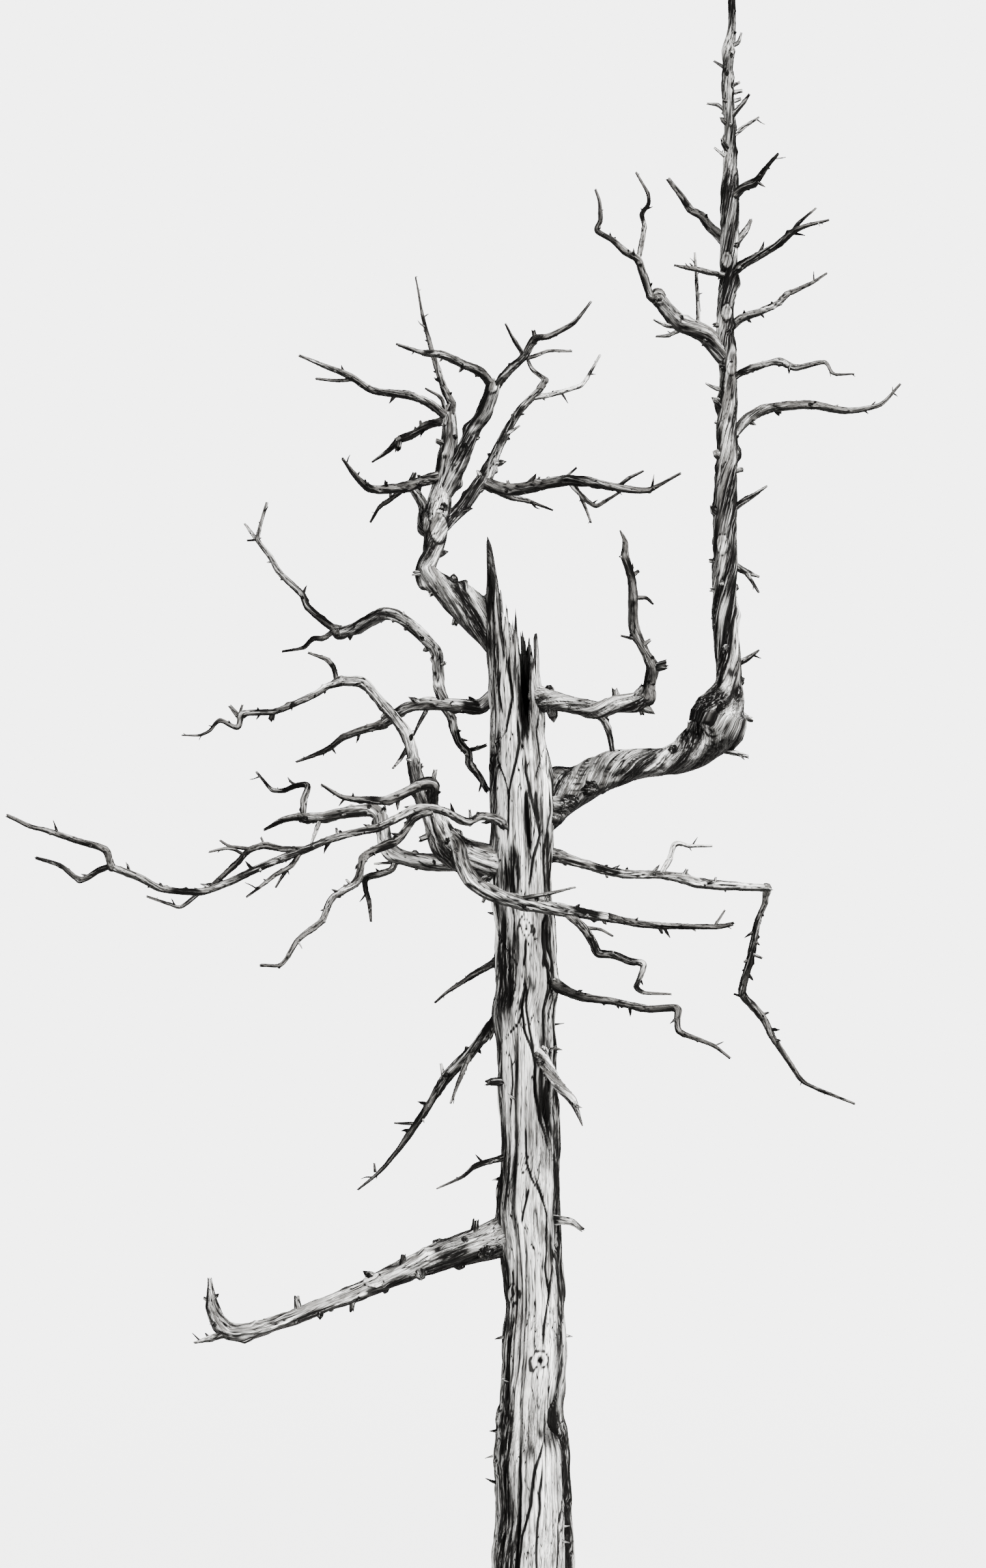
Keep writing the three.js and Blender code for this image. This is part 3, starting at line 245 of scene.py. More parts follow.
limb("leader", "leader_left_bough", "right_leader",
  (50, 30, [-60, -130], [1170, 8600], [1055, 8732], [984, 8772], [884, 8812], [806, 8902], [748, 8975]),
  (13, 4, [60, 80], [998, 8765], [1000, 8880], [992, 9060], [980, 9240]),
  (16, 4, [-80], [900, 8790], [800, 8800], [730, 8832]),
  (14, 4, [40], [915, 8785], [820, 8735], [745, 8730]))
limb("leader", "leader_left_twigs", "leader_left_bough",
  (23, 5, [-60, -130, -180], [748, 8975], [708, 8982], [660, 9112], [630, 9200], [550, 9250], [480, 9318],
    [380, 9382], [400, 9445], [395, 9550], [370, 9630]),
  (15, 4, [60, 120, 150], [632, 9200], [670, 9400], [655, 9480], [695, 9545], [690, 9610], [620, 9735]))

limb("crown", "upper_right_bough", "trunk",
  (92, 44, [-150, -250], [-90, 6530], [40, 6500, 84], [120, 6490, 60], [250, 6460, 50], [380, 6440, 50],
    [500, 6474, 53], [620, 6478, 56], [690, 6505]),
  (22, 10, [-50, -70], [340, 6432], [408, 6388], [447, 6325], [470, 6195]))
limb("crown", "upper_right_twigs", "upper_right_bough",
  (34, 5, [-60, -120, -200], [690, 6505], [702, 6600], [722, 6690, 38], [680, 6780, 27], [605, 6940, 31],
    [600, 7130, 30], [590, 7250, 24], [550, 7380, 25], [550, 7470, 16], [520, 7540]),
  (13, 4, [40], [605, 7125], [680, 7125], [720, 7090]),
  (10, 4, [-40], [640, 6865], [530, 6890]))

limb("crown", "upper_left_bough", "trunk",
  (112, 80, [60, 120, 180], [-205, 6860], [-305, 6970, 112], [-415, 7062, 95], [-515, 7142, 80],
    [-612, 7228, 64], [-668, 7298, 60], [-640, 7395, 54], [-616, 7500, 68], [-600, 7625]))
limb("crown", "crown_left_bough", "upper_left_bough",
  (72, 36, [50, 110], [-600, 7625], [-574, 7800, 60], [-546, 7950, 56], [-524, 8100, 48], [-528, 8255]))
limb("crown", "crown_middle_bough", "crown_left_bough",
  (46, 30, [-70, -180], [-576, 7725], [-478, 7925], [-427, 8050], [-374, 8170], [-302, 8290], [-262, 8420]))
limb("crown", "crown_right_bough", "upper_left_bough",
  (56, 21, [110, 220, 320], [-596, 7550], [-475, 7655, 42], [-365, 7795, 40], [-305, 7870, 46],
    [-215, 8072, 28], [-98, 8275, 24], [30, 8412]),
  (15, 5, [60, 140, 200], [-30, 8350], [60, 8362], [130, 8380], [220, 8408], [282, 8430], [332, 8500],
    [397, 8612]))
limb("crown", "crown_left_top_twigs", "crown_left_bough",
  (28, 5, [40, 80, 120], [-528, 8255], [-512, 8315, 27], [-562, 8410, 22], [-620, 8590], [-650, 8700],
    [-690, 8850], [-735, 9095]))
limb("crown", "crown_left_twigs", "crown_left_bough",
  (26, 6, [-120, -240, -360], [-530, 8235], [-660, 8320], [-780, 8370], [-1000, 8400], [-1150, 8490],
    [-1300, 8550], [-1445, 8610]),
  (12, 4, [40], [-1120, 8465], [-1220, 8460], [-1345, 8470]),
  (13, 4, [-50], [-552, 8262], [-580, 8352], [-674, 8410]))
limb("crown", "crown_left_low_twigs", "crown_left_bough",
  (25, 6, [150, 300, 420], [-535, 8210], [-650, 8190], [-750, 8130], [-830, 8098, 24], [-900, 8030],
    [-1000, 7960]))
limb("crown", "crown_middle_left_twigs", "crown_middle_bough",
  (26, 5, [-130, -270, -420], [-262, 8425], [-330, 8505], [-420, 8550], [-580, 8620], [-700, 8632],
    [-850, 8682]))
limb("crown", "crown_middle_right_twigs", "crown_middle_bough",
  (24, 5, [-60, -140, -180], [-290, 8330], [-200, 8480], [-130, 8550], [-65, 8612], [0, 8715], [80, 8730],
    [240, 8820], [340, 8942]),
  (14, 4, [-60], [-65, 8612], [-125, 8700], [-182, 8805]),
  (12, 4, [50, 80], [-90, 8585], [0, 8610], [80, 8640], [220, 8640]))
limb("crown", "crown_right_twigs", "crown_right_bough",
  (17, 5, [30, 60], [30, 8412], [60, 8462], [-20, 8530], [-52, 8600]))
limb("crown", "crown_side_twigs", "crown_right_bough",
  (36, 5, [-120, -260, -400, -520], [-340, 7850], [-220, 7800], [-120, 7790], [0, 7812], [220, 7850],
    [450, 7812], [600, 7788], [700, 7790], [890, 7887]),
  (20, 4, [80, 170, 220], [-270, 7795], [-150, 7742], [-50, 7722], [104, 7664]),
  (15, 4, [-90, -120], [200, 7840], [302, 7738], [372, 7690], [432, 7722], [530, 7780]),
  (13, 4, [70, 120], [225, 7850], [290, 7725], [340, 7590]),
  (12, 4, [-50, -90], [500, 7800], [580, 7862], [660, 7902]),
  (10, 3, [30], [150, 7838], [250, 7922]))
limb("crown", "left_reach_twigs", "crown_left_bough",
  (32, 6, [-150, -330, -520], [-580, 7875], [-680, 7842], [-820, 7800], [-920, 7790], [-1030, 7802],
    [-1120, 7890], [-1182, 7975]),
  (15, 4, [60, 90], [-790, 7806], [-900, 7722], [-960, 7680], [-1012, 7592]))
limb("crown", "left_hook_twigs", "upper_left_bough",
  (36, 10, [90, 190, 260], [-625, 7490], [-685, 7570], [-682, 7680], [-722, 7755], [-762, 7820],
    [-745, 7882]))

limb("left", "left_upper_bough", "trunk",
  (46, 30, [90, 170, 240], [-190, 6590], [-330, 6462], [-400, 6456], [-620, 6475], [-700, 6470],
    [-800, 6440, 34], [-930, 6350]),
  (14, 4, [60, 90], [-650, 6473], [-700, 6380], [-750, 6280]))
limb("left", "left_upper_twigs", "left_upper_bough",
  (24, 5, [80, 190, 300], [-930, 6350], [-1020, 6322], [-1180, 6270], [-1270, 6200], [-1380, 6150],
    [-1465, 6118]))
limb("left", "left_hanging_twigs", "left_upper_bough",
  (24, 12, [30, 80, 110], [-590, 6474], [-520, 6400], [-500, 6320], [-470, 6240], [-410, 6170], [-400, 6100],
    [-340, 6020], [-298, 5945]),
  (14, 7, [30], [-420, 6185], [-350, 6202], [-305, 6218]))
limb("left", "left_loop_bough", "left_upper_bough",
  (33, 26, [100, 250, 430, 600], [-555, 6462], [-590, 6575], [-608, 6780], [-658, 6850], [-765, 6956],
    [-852, 7016], [-930, 7026], [-1100, 6940], [-1200, 6910]))
limb("left", "left_loop_twigs", "left_loop_bough",
  (21, 6, [60, 140, 220, 300], [-1200, 6910], [-1250, 6944], [-1400, 7070], [-1430, 7140], [-1580, 7290],
    [-1630, 7380], [-1705, 7480], [-1695, 7545], [-1650, 7702]),
  (12, 4, [50], [-1700, 7465], [-1742, 7522], [-1782, 7575]),
  (17, 5, [-60, -110, -150], [-1225, 6935], [-1300, 6876], [-1370, 6870], [-1420, 6820], [-1552, 6795]))

limb("left", "arch_bough", "trunk",
  (118, 28, [-40, -110, -120, -110, -110, -130], [-120, 5480], [-300, 5502, 102], [-450, 5548, 98],
    [-550, 5622, 84], [-600, 5705, 74], [-640, 5800, 62], [-695, 5905, 50], [-750, 6100, 42],
    [-765, 6200, 35], [-802, 6300, 34], [-930, 6460, 32], [-1060, 6600, 31], [-1190, 6612]),
  (13, 4, [-40], [-775, 6225], [-830, 6130], [-872, 6080]))
limb("left", "arch_twigs", "arch_bough",
  (22, 5, [-80, -170, -260, -340], [-1190, 6612], [-1280, 6580], [-1360, 6530], [-1600, 6430],
    [-1800, 6410, 18], [-1830, 6332], [-1940, 6370], [-2000, 6310], [-2060, 6280], [-2172, 6280]),
  (16, 5, [60, 90], [-1215, 6600], [-1242, 6700], [-1282, 6745], [-1392, 6786]))
limb("left", "left_front_twigs", "arch_bough",
  (32, 5, [-125, -150, -200, -250, -310, -360], [-632, 5820], [-630, 5920], [-642, 5980], [-720, 5970],
    [-900, 5880], [-1000, 5880], [-1180, 5900], [-1312, 5976]))
limb("left", "knee_bough", "arch_bough",
  (56, 32, [60, 180, 320, 450, 560], [-430, 5500], [-600, 5500], [-800, 5530], [-872, 5560], [-912, 5625, 45],
    [-935, 5710], [-952, 5782], [-1005, 5822], [-1180, 5800], [-1300, 5772], [-1400, 5770]),
  (14, 4, [-60], [-1318, 5775], [-1345, 5700], [-1382, 5600]))
limb("left", "knee_twigs", "knee_bough",
  (25, 6, [60, 130], [-1400, 5770], [-1450, 5780], [-1550, 5760], [-1662, 5702]),
  (19, 5, [60, 130, 200], [-1425, 5778], [-1422, 5880], [-1402, 5972], [-1470, 5970], [-1550, 5940],
    [-1615, 5946], [-1712, 6052]))
limb("left", "knee_hanging_twigs", "knee_bough",
  (21, 5, [-40, -30, 20], [-850, 5545], [-880, 5460], [-950, 5430], [-1040, 5400], [-1040, 5330],
    [-1020, 5250], [-1010, 5140]),
  (10, 4, [40], [-862, 5500], [-985, 5490]))

limb("left", "long_bough", "trunk",
  (34, 20, [-300, -450, -560, -670, -800, -930, -1060, -1180], [-120, 5640], [-225, 5757, 27],
    [-330, 5783, 24], [-425, 5748, 25], [-550, 5808, 25], [-720, 5830, 25], [-880, 5750], [-970, 5710],
    [-1200, 5660], [-1430, 5570], [-1620, 5500], [-1880, 5380], [-2050, 5320], [-2300, 5340], [-2420, 5400],
    [-2600, 5470]))
limb("left", "long_tip_twigs", "long_bough",
  (19, 7, [-60, -130, -180], [-2600, 5470], [-2642, 5575], [-2800, 5630], [-3000, 5695], [-3100, 5720],
    [-3240, 5786]),
  (16, 7, [60, 110, 150], [-2610, 5480], [-2680, 5450], [-2792, 5395], [-2920, 5480], [-3062, 5526]))
limb("left", "long_middle_twigs", "long_bough",
  (18, 5, [110, 230, 330, 400], [-1400, 5580], [-1550, 5580], [-1660, 5600], [-1750, 5580], [-1830, 5500],
    [-1980, 5360], [-2050, 5320], [-2180, 5225], [-2250, 5245], [-2382, 5290]),
  (11, 4, [40, 60], [-1740, 5580], [-1880, 5600], [-1932, 5632]),
  (10, 4, [-50, -80], [-1785, 5548], [-1880, 5585], [-2002, 5564]))
limb("left", "long_hanging_twigs", "long_bough",
  (15, 4, [-70, -140], [-1440, 5568], [-1500, 5480], [-1600, 5420], [-1700, 5342], [-1772, 5290]),
  (11, 4, [60, 90], [-1478, 5510], [-1550, 5420], [-1592, 5350]))
limb("left", "drooping_twigs", "long_bough",
  (24, 6, [-90, -190, -300, -420, -540, -660], [-640, 5820], [-740, 5780], [-800, 5700], [-862, 5630],
    [-1000, 5570], [-1060, 5530], [-1100, 5380], [-1250, 5280], [-1312, 5140], [-1458, 5024], [-1520, 4920],
    [-1570, 4866], [-1682, 4866]))

limb("right", "crossing_bough", "arch_bough",
  (56, 27, [-110, -210, -240, -250, -280, -320], [-560, 5665], [-480, 5600], [-450, 5500], [-380, 5382, 46],
    [-220, 5290, 42], [0, 5240, 39], [200, 5200, 35], [450, 5160]),
  (13, 4, [-40, -50], [-130, 5268], [0, 5295], [100, 5312], [242, 5346]))
limb("right", "crossing_twigs", "crossing_bough",
  (21, 9, [-90, -190, -270], [450, 5160], [600, 5125], [750, 5110], [900, 5104], [1120, 5104], [1205, 5122]),
  (9, 4, [30], [1100, 5105], [1162, 5202]))
limb("right", "crossing_low_twigs", "crossing_bough",
  (24, 4, [-70, -150, -220], [180, 5200], [300, 5090], [360, 5000], [390, 4942], [480, 4930], [580, 4890],
    [660, 4872], [620, 4732], [660, 4700], [832, 4690]),
  (11, 4, [-50], [290, 5100], [400, 5088], [472, 5050]))

limb("right", "right_bough", "trunk",
  (46, 24, [90, 210, 340, 460], [-40, 5560], [120, 5545, 38], [300, 5490, 28], [520, 5430, 26],
    [780, 5425, 26], [900, 5400, 34], [1000, 5370], [1250, 5350], [1420, 5340]),
  (16, 5, [50, 90], [770, 5425], [825, 5520], [865, 5612], [950, 5600], [1080, 5600]))
limb("right", "right_dropping_twigs", "right_bough",
  (19, 8, [60, 120, 190, 260], [1420, 5340], [1410, 5250], [1370, 5150], [1330, 4950], [1270, 4700, 24],
    [1330, 4620, 26], [1400, 4540], [1450, 4440], [1580, 4240], [1650, 4150], [1750, 4100], [1955, 4018]),
  (10, 4, [-30], [1300, 4665], [1222, 4690]))
limb("right", "right_low_twigs", "trunk",
  (56, 8, [-160, -330, -490, -640, -760], [-10, 4810], [120, 4748, 38], [200, 4710, 29], [300, 4670, 27],
    [500, 4640, 22], [700, 4600, 22], [870, 4600, 22], [872, 4530], [885, 4460, 18], [1020, 4405],
    [1100, 4370], [1192, 4300]))
limb("right", "front_spike", "trunk",
  (48, 4, [-190, -300, -400, -460], [-20, 4440], [60, 4270, 38], [150, 4120, 30], [230, 4030, 24],
    [290, 3880]))

limb("left", "left_short_twigs", "trunk",
  (27, 7, [90, 200, 310], [-180, 4920], [-350, 4828, 20], [-450, 4762], [-550, 4697], [-614, 4640]))
limb("left", "left_drooping_twigs", "trunk",
  (40, 7, [90, 190, 300, 420], [-158, 4635], [-306, 4448, 33], [-386, 4348, 32], [-535, 4188, 36],
    [-605, 4088, 27], [-665, 3988], [-786, 3812, 21], [-938, 3618], [-1086, 3492]),
  (17, 4, [-60, -90], [-388, 4348], [-462, 4175], [-520, 4022]),
  (11, 4, [50], [-732, 3895], [-862, 3898]))
limb("left", "left_stub_twigs", "trunk",
  (23, 5, [-80, -190, -290], [-130, 3700], [-292, 3658, 18], [-372, 3630], [-442, 3572], [-606, 3494]))
limb("left", "lowest_left_bough", "trunk",
  (128, 14, [-70, -170, -290, -400, -440], [-60, 3228], [-250, 3180, 108], [-500, 3104, 92], [-650, 3054, 80],
    [-950, 2920, 62], [-1250, 2798, 49], [-1500, 2700, 46], [-1750, 2620, 48], [-1870, 2622, 50],
    [-1946, 2690, 43], [-1984, 2785, 36], [-1998, 2935]),
  (22, 5, [-40], [-1890, 2610], [-2000, 2574], [-2092, 2550]))

limb("back", "back_high_bough", "trunk",
  (70, 30, [260, 480, 700, 900], [-90, 5640], [-130, 5800, 60], [-60, 5960, 48], [-110, 6130, 40],
    [-90, 6290]))
limb("back", "back_high_twigs", "back_high_bough",
  (24, 5, [60, 130, 210], [-90, 6290], [-130, 6400], [-190, 6560], [-170, 6700]),
  (15, 4, [110, 230], [-105, 6320], [-40, 6440], [-70, 6590]),
  (13, 4, [-30, 120], [-140, 6430], [-210, 6420], [-235, 6360]))
limb("back", "back_low_bough", "trunk",
  (66, 28, [280, 520, 760, 960], [-40, 3990], [-10, 4110, 54], [-70, 4240, 44], [-20, 4370, 36], [-60, 4470]))
limb("back", "back_low_twigs", "back_low_bough",
  (23, 5, [80, 170, 260], [-60, 4470], [-100, 4560], [-50, 4700], [-90, 4830]),
  (15, 4, [120, 220], [-75, 4510], [0, 4600], [60, 4620]),
  (13, 4, [60, 190], [-95, 4580], [-160, 4640], [-190, 4760]))

# Knobs and broken spurs on the limbs: girth at the two ends, then (across, height) in millimetres.
KNOBS = {
    "right_arm": [(28, 10, (938, 6190), (952, 6352))],
    "right_leader": [
        (14, 4, (1165, 8400), (1100, 8415), (1050, 8440)), (22, 8, (1165, 7345), (1076, 7352)),
        (22, 9, (1165, 7160), (1084, 7172)), (20, 8, (1170, 6985), (1092, 7002)),
        (18, 7, (1170, 7620), (1098, 7634)), (18, 7, (1175, 8190), (1112, 8202)),
        (14, 7, (1190, 10165), (1254, 10186)), (14, 8, (1190, 10225), (1264, 10238)),
        (13, 6, (1188, 10262), (1248, 10288)), (14, 5, (1195, 10510), (1246, 10536), (1265, 10590)),
        (26, 10, (1180, 7900), (1262, 7912)), (24, 9, (1170, 8790), (1106, 8802)),
        (30, 12, (1215, 6420), (1312, 6380))],
    "upper_right_bough": [(30, 14, (600, 6490), (660, 6572)), (26, 13, (505, 6480), (490, 6548)),
        (24, 10, (640, 6480), (655, 6418))],
    "upper_right_twigs": [(28, 18, (720, 6690), (786, 6708)), (15, 7, (595, 7258), (630, 7286)),
        (12, 5, (552, 7368), (522, 7378)), (18, 7, (655, 6830), (700, 6862))],
    "upper_left_bough": [(28, 12, (-640, 7270), (-735, 7276)), (34, 12, (-452, 7075), (-496, 6965)),
        (30, 12, (-380, 7035), (-300, 7130)), (26, 10, (-560, 7185), (-640, 7150))],
    "crown_left_bough": [(24, 10, (-535, 8060), (-600, 8086)), (22, 9, (-550, 7900), (-480, 7916))],
    "crown_left_low_twigs": [(20, 13, (-832, 8096), (-840, 8052)), (14, 6, (-700, 8160), (-706, 8208))],
    "crown_right_bough": [(13, 3, (-190, 8120), (-100, 8180)), (18, 7, (-330, 7838), (-352, 7900))],
    "crown_middle_right_twigs": [(14, 8, (0, 8715), (-10, 8762))],
    "crown_side_twigs": [(9, 3, (0, 7812), (24, 7862)), (14, 6, (-160, 7792), (-170, 7838))],
    "long_bough": [(11, 3, (-396, 5750), (-404, 5820)), (9, 2, (-376, 5756), (-352, 5806)),
        (14, 5, (-1210, 5656), (-1222, 5708))],
    "long_middle_twigs": [(8, 2, (-1660, 5600), (-1684, 5650))],
    "drooping_twigs": [(8, 2, (-1538, 4902), (-1572, 4852)), (10, 4, (-1130, 5360), (-1160, 5392))],
    "arch_bough": [(32, 13, (-590, 5690), (-692, 5648)), (22, 9, (-745, 6060), (-700, 6090)),
        (18, 8, (-905, 6430), (-940, 6392))],
    "arch_twigs": [(16, 13, (-1608, 6428), (-1620, 6386)), (15, 8, (-1826, 6400), (-1872, 6456)),
        (11, 5, (-1826, 6380), (-1800, 6462))],
    "left_front_twigs": [(15, 8, (-632, 5985), (-616, 6056))],
    "left_loop_bough": [(18, 8, (-600, 6700), (-560, 6722)), (16, 7, (-800, 6975), (-810, 7030))],
    "left_loop_twigs": [(8, 3, (-1705, 7482), (-1768, 7476))],
    "knee_bough": [(22, 9, (-940, 5700), (-1004, 5700)), (20, 8, (-720, 5516), (-730, 5462))],
    "right_bough": [(18, 7, (905, 5398), (930, 5452)), (15, 6, (430, 5455), (440, 5412)),
        (14, 5, (1100, 5362), (1108, 5402))],
    "right_dropping_twigs": [(12, 5, (1332, 4936), (1388, 4912)), (11, 5, (1322, 4908), (1284, 4890)),
        (10, 4, (1386, 4560), (1428, 4576))],
    "left_drooping_twigs": [(9, 3, (-985, 3598), (-990, 3645)), (16, 6, (-560, 4160), (-578, 4258)),
        (18, 7, (-480, 4255), (-430, 4232))],
    "lowest_left_bough": [(26, 11, (-1450, 2716), (-1464, 2826)), (34, 14, (-378, 3140), (-366, 3286)),
        (24, 9, (-1120, 2850), (-1128, 2752)), (26, 10, (-820, 2975), (-812, 3080)),
        (18, 6, (-1990, 2800), (-2032, 2822))],
    "crossing_bough": [(16, 6, (60, 5230), (76, 5282)), (18, 7, (-300, 5320), (-318, 5262))],
    "crossing_twigs": [(14, 6, (760, 5112), (775, 5070))],
}

# Pale, healed scars that face the front: across, height, half width and half height in mm.
SCARS = {
    "upper_left_bough": [(-594, 7552, 42, 76)], "crown_left_bough": [(-569, 8225, 28, 36)],
    "crown_left_low_twigs": [(-842, 8104, 17, 17)], "crown_middle_bough": [(-264, 8408, 22, 22)],
    "leader_left_bough": [(762, 8958, 24, 26)], "leader_twigs_low_right": [(1540, 8556, 17, 15)],
    "right_leader": [(1150, 7455, 28, 52), (1178, 9200, 24, 44), (1176, 8878, 26, 46), (1204, 8532, 20, 34)],
    "lowest_left_bough": [(-1000, 2930, 50, 32), (-742, 2944, 26, 22)], "right_arm": [(1128, 6262, 22, 18)],
}
# Turn of the grain, in radians in each metre, where it is clearly wound round the limb.
TWISTS = {"right_arm": 6.5, "right_leader": -3.4, "upper_left_bough": -4.5, "upper_right_bough": 5.0,
          "front_spike": 7.0}
# The arm and the leader are one run of wood.
LEADER_PARTS = ("right_arm", "right_leader")
# How much darker than the rest some wood is made: from root to knee, from knee to tip, by limb. At the arm's
# root it is painted shade.
ARM_GLOOM = (0.45, 0.0)
LEADER_GLOOM = (0.08, 0.76)
GLOOM = {"upper_left_bough": 0.10, "crown_left_bough": 0.16, "crown_middle_bough": 0.16,
         "crown_right_bough": 0.08, "right_low_twigs": -0.40, "crossing_bough": -0.08}


# Seeds and noise

WORD = 0xFFFFFFFF
# Steps from one state of the draws to the next: for a letter of the seed's text, and for a draw.
LETTER_STEP = 31
DRAW_STEP, DRAW_SHIFT = 1664525, 1013904223
# Odd numbers that mix a place's cell and a seed into one value.
PRIMES = (374761393, 668265263, 1440662683, 974634777)
LAST_PRIME = 1274126177


def seeded_draws(text):
    """A source of numbers from 0 to 1, always the same for the same text."""
    state = 7
    for letter in text:
        state = (state * LETTER_STEP + ord(letter)) & WORD

    def draw():
        nonlocal state
        state = (state * DRAW_STEP + DRAW_SHIFT) & WORD
        return state / (WORD + 1)
    return draw


def spread(draw, least, more):
    return least + more * draw()


def seed_number(text):
    """A number that sets the noise of one strand apart from the others."""
    return sum(ord(letter) * (index + 3) for index, letter in enumerate(text)) % 97 * 0.31


def corner_value(x, y, z, seed):
    mixed = sum(value * prime for value, prime in zip((x, y, z, seed), PRIMES)) & WORD
    mixed = ((mixed ^ (mixed >> 13)) * LAST_PRIME) & WORD
    return ((mixed ^ (mixed >> 16)) & 0xFFFF) / 32767.5 - 1


def noise(x, y, z, seed):
    """Smooth noise from -1 to 1 at arrays of places."""
    x, y, z = np.broadcast_arrays(x, y, z)
    cells = [np.floor(value).astype(np.int64) for value in (x, y, z)]
    shares = [value - cell for value, cell in zip((x, y, z), cells)]
    shares = [share ** 3 * (share * (share * 6 - 15) + 10) for share in shares]
    total = 0
    for corner in range(8):
        steps = [(corner >> axis) & 1 for axis in range(3)]
        weight = 1
        for step, share in zip(steps, shares):
            weight = weight * (share if step else 1 - share)
        total = total + weight * corner_value(*[cell + step for cell, step in zip(cells, steps)], seed)
    return total


def ring_noise(angle, across, along, seed, x_shift=0, y_shift=0):
    """Noise that closes on itself round a limb or the trunk."""
    return noise(cos(angle) * across + x_shift, sin(angle) * across + y_shift, along, seed)


def bell(gap, width):
    return np.exp(-(gap / width) ** 2)


def unit(value):
    return np.clip(value, 0, 1)


def metres(values):
    return [value * MM for value in values]


# Courses of the limbs, by the same rule as the solid frame

# A strand that starts this near its parent's cut end goes on from it: places and swelling of the
# joint, as shares of the parent's girth there.
JOINT = Sizes(near=0.005, behind=0.7, ahead=2.2, most_ahead=0.6, swell=(0.9, 1.1, 0.86))
# The knee between the arm and the leader: its least girth, and the swelling before and in it.
KNEE = Sizes(start=0.12, before=(1.04, 1.27), swell=(1.05, 1.04, 1.07))
# How far a knob may lean to the front or the back, in mm.
KNOB_LEAN = 50


def stepped(values, share):
    """The value at a share of the way through evenly spaced ones."""
    spot = min(max(share, 0), 1) * (len(values) - 1)
    low = min(int(spot), len(values) - 2)
    return values[low] + (values[low + 1] - values[low]) * (spot - low)


def along_sight(x, z, depth):
    wider = (VIEW["away"] + depth) / VIEW["away"]
    return (VIEW["x"] + (x - VIEW["x"]) * wider, depth, VIEW["z"] + (z - VIEW["z"]) * wider)


def course(piece, root, draw):
    """Places and girths of a strand, with its bends as seen from the front and their depth."""
    flat = array([metres(bend[:2]) for bend in piece["bends"]])
    known = [bend[2] * MM if len(bend) > 2 else None for bend in piece["bends"]]
    known[0], known[-1] = metres(piece["girth"])
    spans = hypot(*np.diff(flat, axis=0).T)
    runs = concatenate([[0], np.cumsum(spans)])
    told = [index for index, value in enumerate(known) if value is not None]
    girth = interp(runs, runs[told], [known[index] for index in told])
    if len(told) == 2 and girth[0] < SLIM.under:
        share = (runs / runs[-1]) ** 2
        tip = max(girth[-1] * SLIM.tip, SLIM.least)
        girth = girth[0] * SLIM.root * (1 - share) + tip * share
    depth = []
    for index, run in enumerate(runs):
        swing = (draw() - 0.5) * SWAY * spans[index - 1] if index else 0
        depth.append(root + stepped(metres(piece["depth"]), run / runs[-1]) + swing)
    at = array([along_sight(x, z, y) for (x, z), y in zip(flat, depth)])
    return {"flat": flat, "depth": array(depth), "girth": girth, "at": at}


def nearest_depth(courses, x, z):
    """Depth of the strands at the spot that shows nearest to this place."""
    best = (math.inf, 0)
    for found in courses:
        flat, depth = found["flat"], found["depth"]
        for start, end, near, far in zip(flat, flat[1:], depth, depth[1:]):
            way = end - start
            share = min(max(float(np.dot((x, z) - start, way) / np.dot(way, way)), 0), 1)
            gap = math.hypot(*(start + way * share - (x, z)))
            if gap < best[0]:
                best = (gap, near + (far - near) * share)
    return best[1]


def grow_on(found, parent):
    """A strand that goes on from its parent's cut end swells over it like a joint."""
    trail = parent[0]
    if math.hypot(*(found["flat"][0] - trail["flat"][-1])) > JOINT.near:
        return found
    back = trail["at"][-2] - trail["at"][-1]
    width = trail["girth"][-1]
    ahead = found["at"][1] - found["at"][0]
    length = norm(ahead)
    before, swell, after = JOINT.swell
    at = [found["at"][0] + back / norm(back) * width * JOINT.behind, found["at"][0],
          found["at"][0] + ahead / length * min(width * JOINT.ahead, length * JOINT.most_ahead)]
    girth = [width * before, width * swell, max(width * after, found["girth"][0])]
    grown = dict(found)
    grown["at"] = array([*at, *found["at"][1:]])
    grown["girth"] = array([*girth, *found["girth"][1:]])
    trail["goes_on"] = True
    return grown


def limb_courses(name, parent_courses):
    draw = seeded_draws(name)
    courses = []
    for piece in LIMBS[name]["strands"]:
        x, z = metres(piece["bends"][0][:2])
        near = courses or parent_courses
        found = course(piece, nearest_depth(near, x, z) if near else 0, draw)
        courses.append(found if courses or not parent_courses else grow_on(found, parent_courses))
    if not parent_courses:
        courses[0]["sprung"] = True
    return courses


def knob_courses(name, courses):
    """Knobs and broken spurs of one limb, with a seeded lean to the front or the back."""
    draw = seeded_draws(name + " knobs")
    knobs = []
    for thick, thin, *bends in KNOBS.get(name, []):
        lean = (draw() - 0.5) * KNOB_LEAN
        depth = nearest_depth(courses[name], *metres(bends[0]))
        knobs.append(course(strand(thick, thin, [lean], *bends), depth, draw))
    return knobs


def all_courses():
    courses = {}
    for name, entry in LIMBS.items():
        courses[name] = limb_courses(name, courses.get(entry["parent"]))
    for name, shifts in SET_BACK.items():
        courses[name][0]["at"][:3, 1] += shifts
    bend_knee(courses["right_arm"][0], courses["right_leader"][0])
    return courses


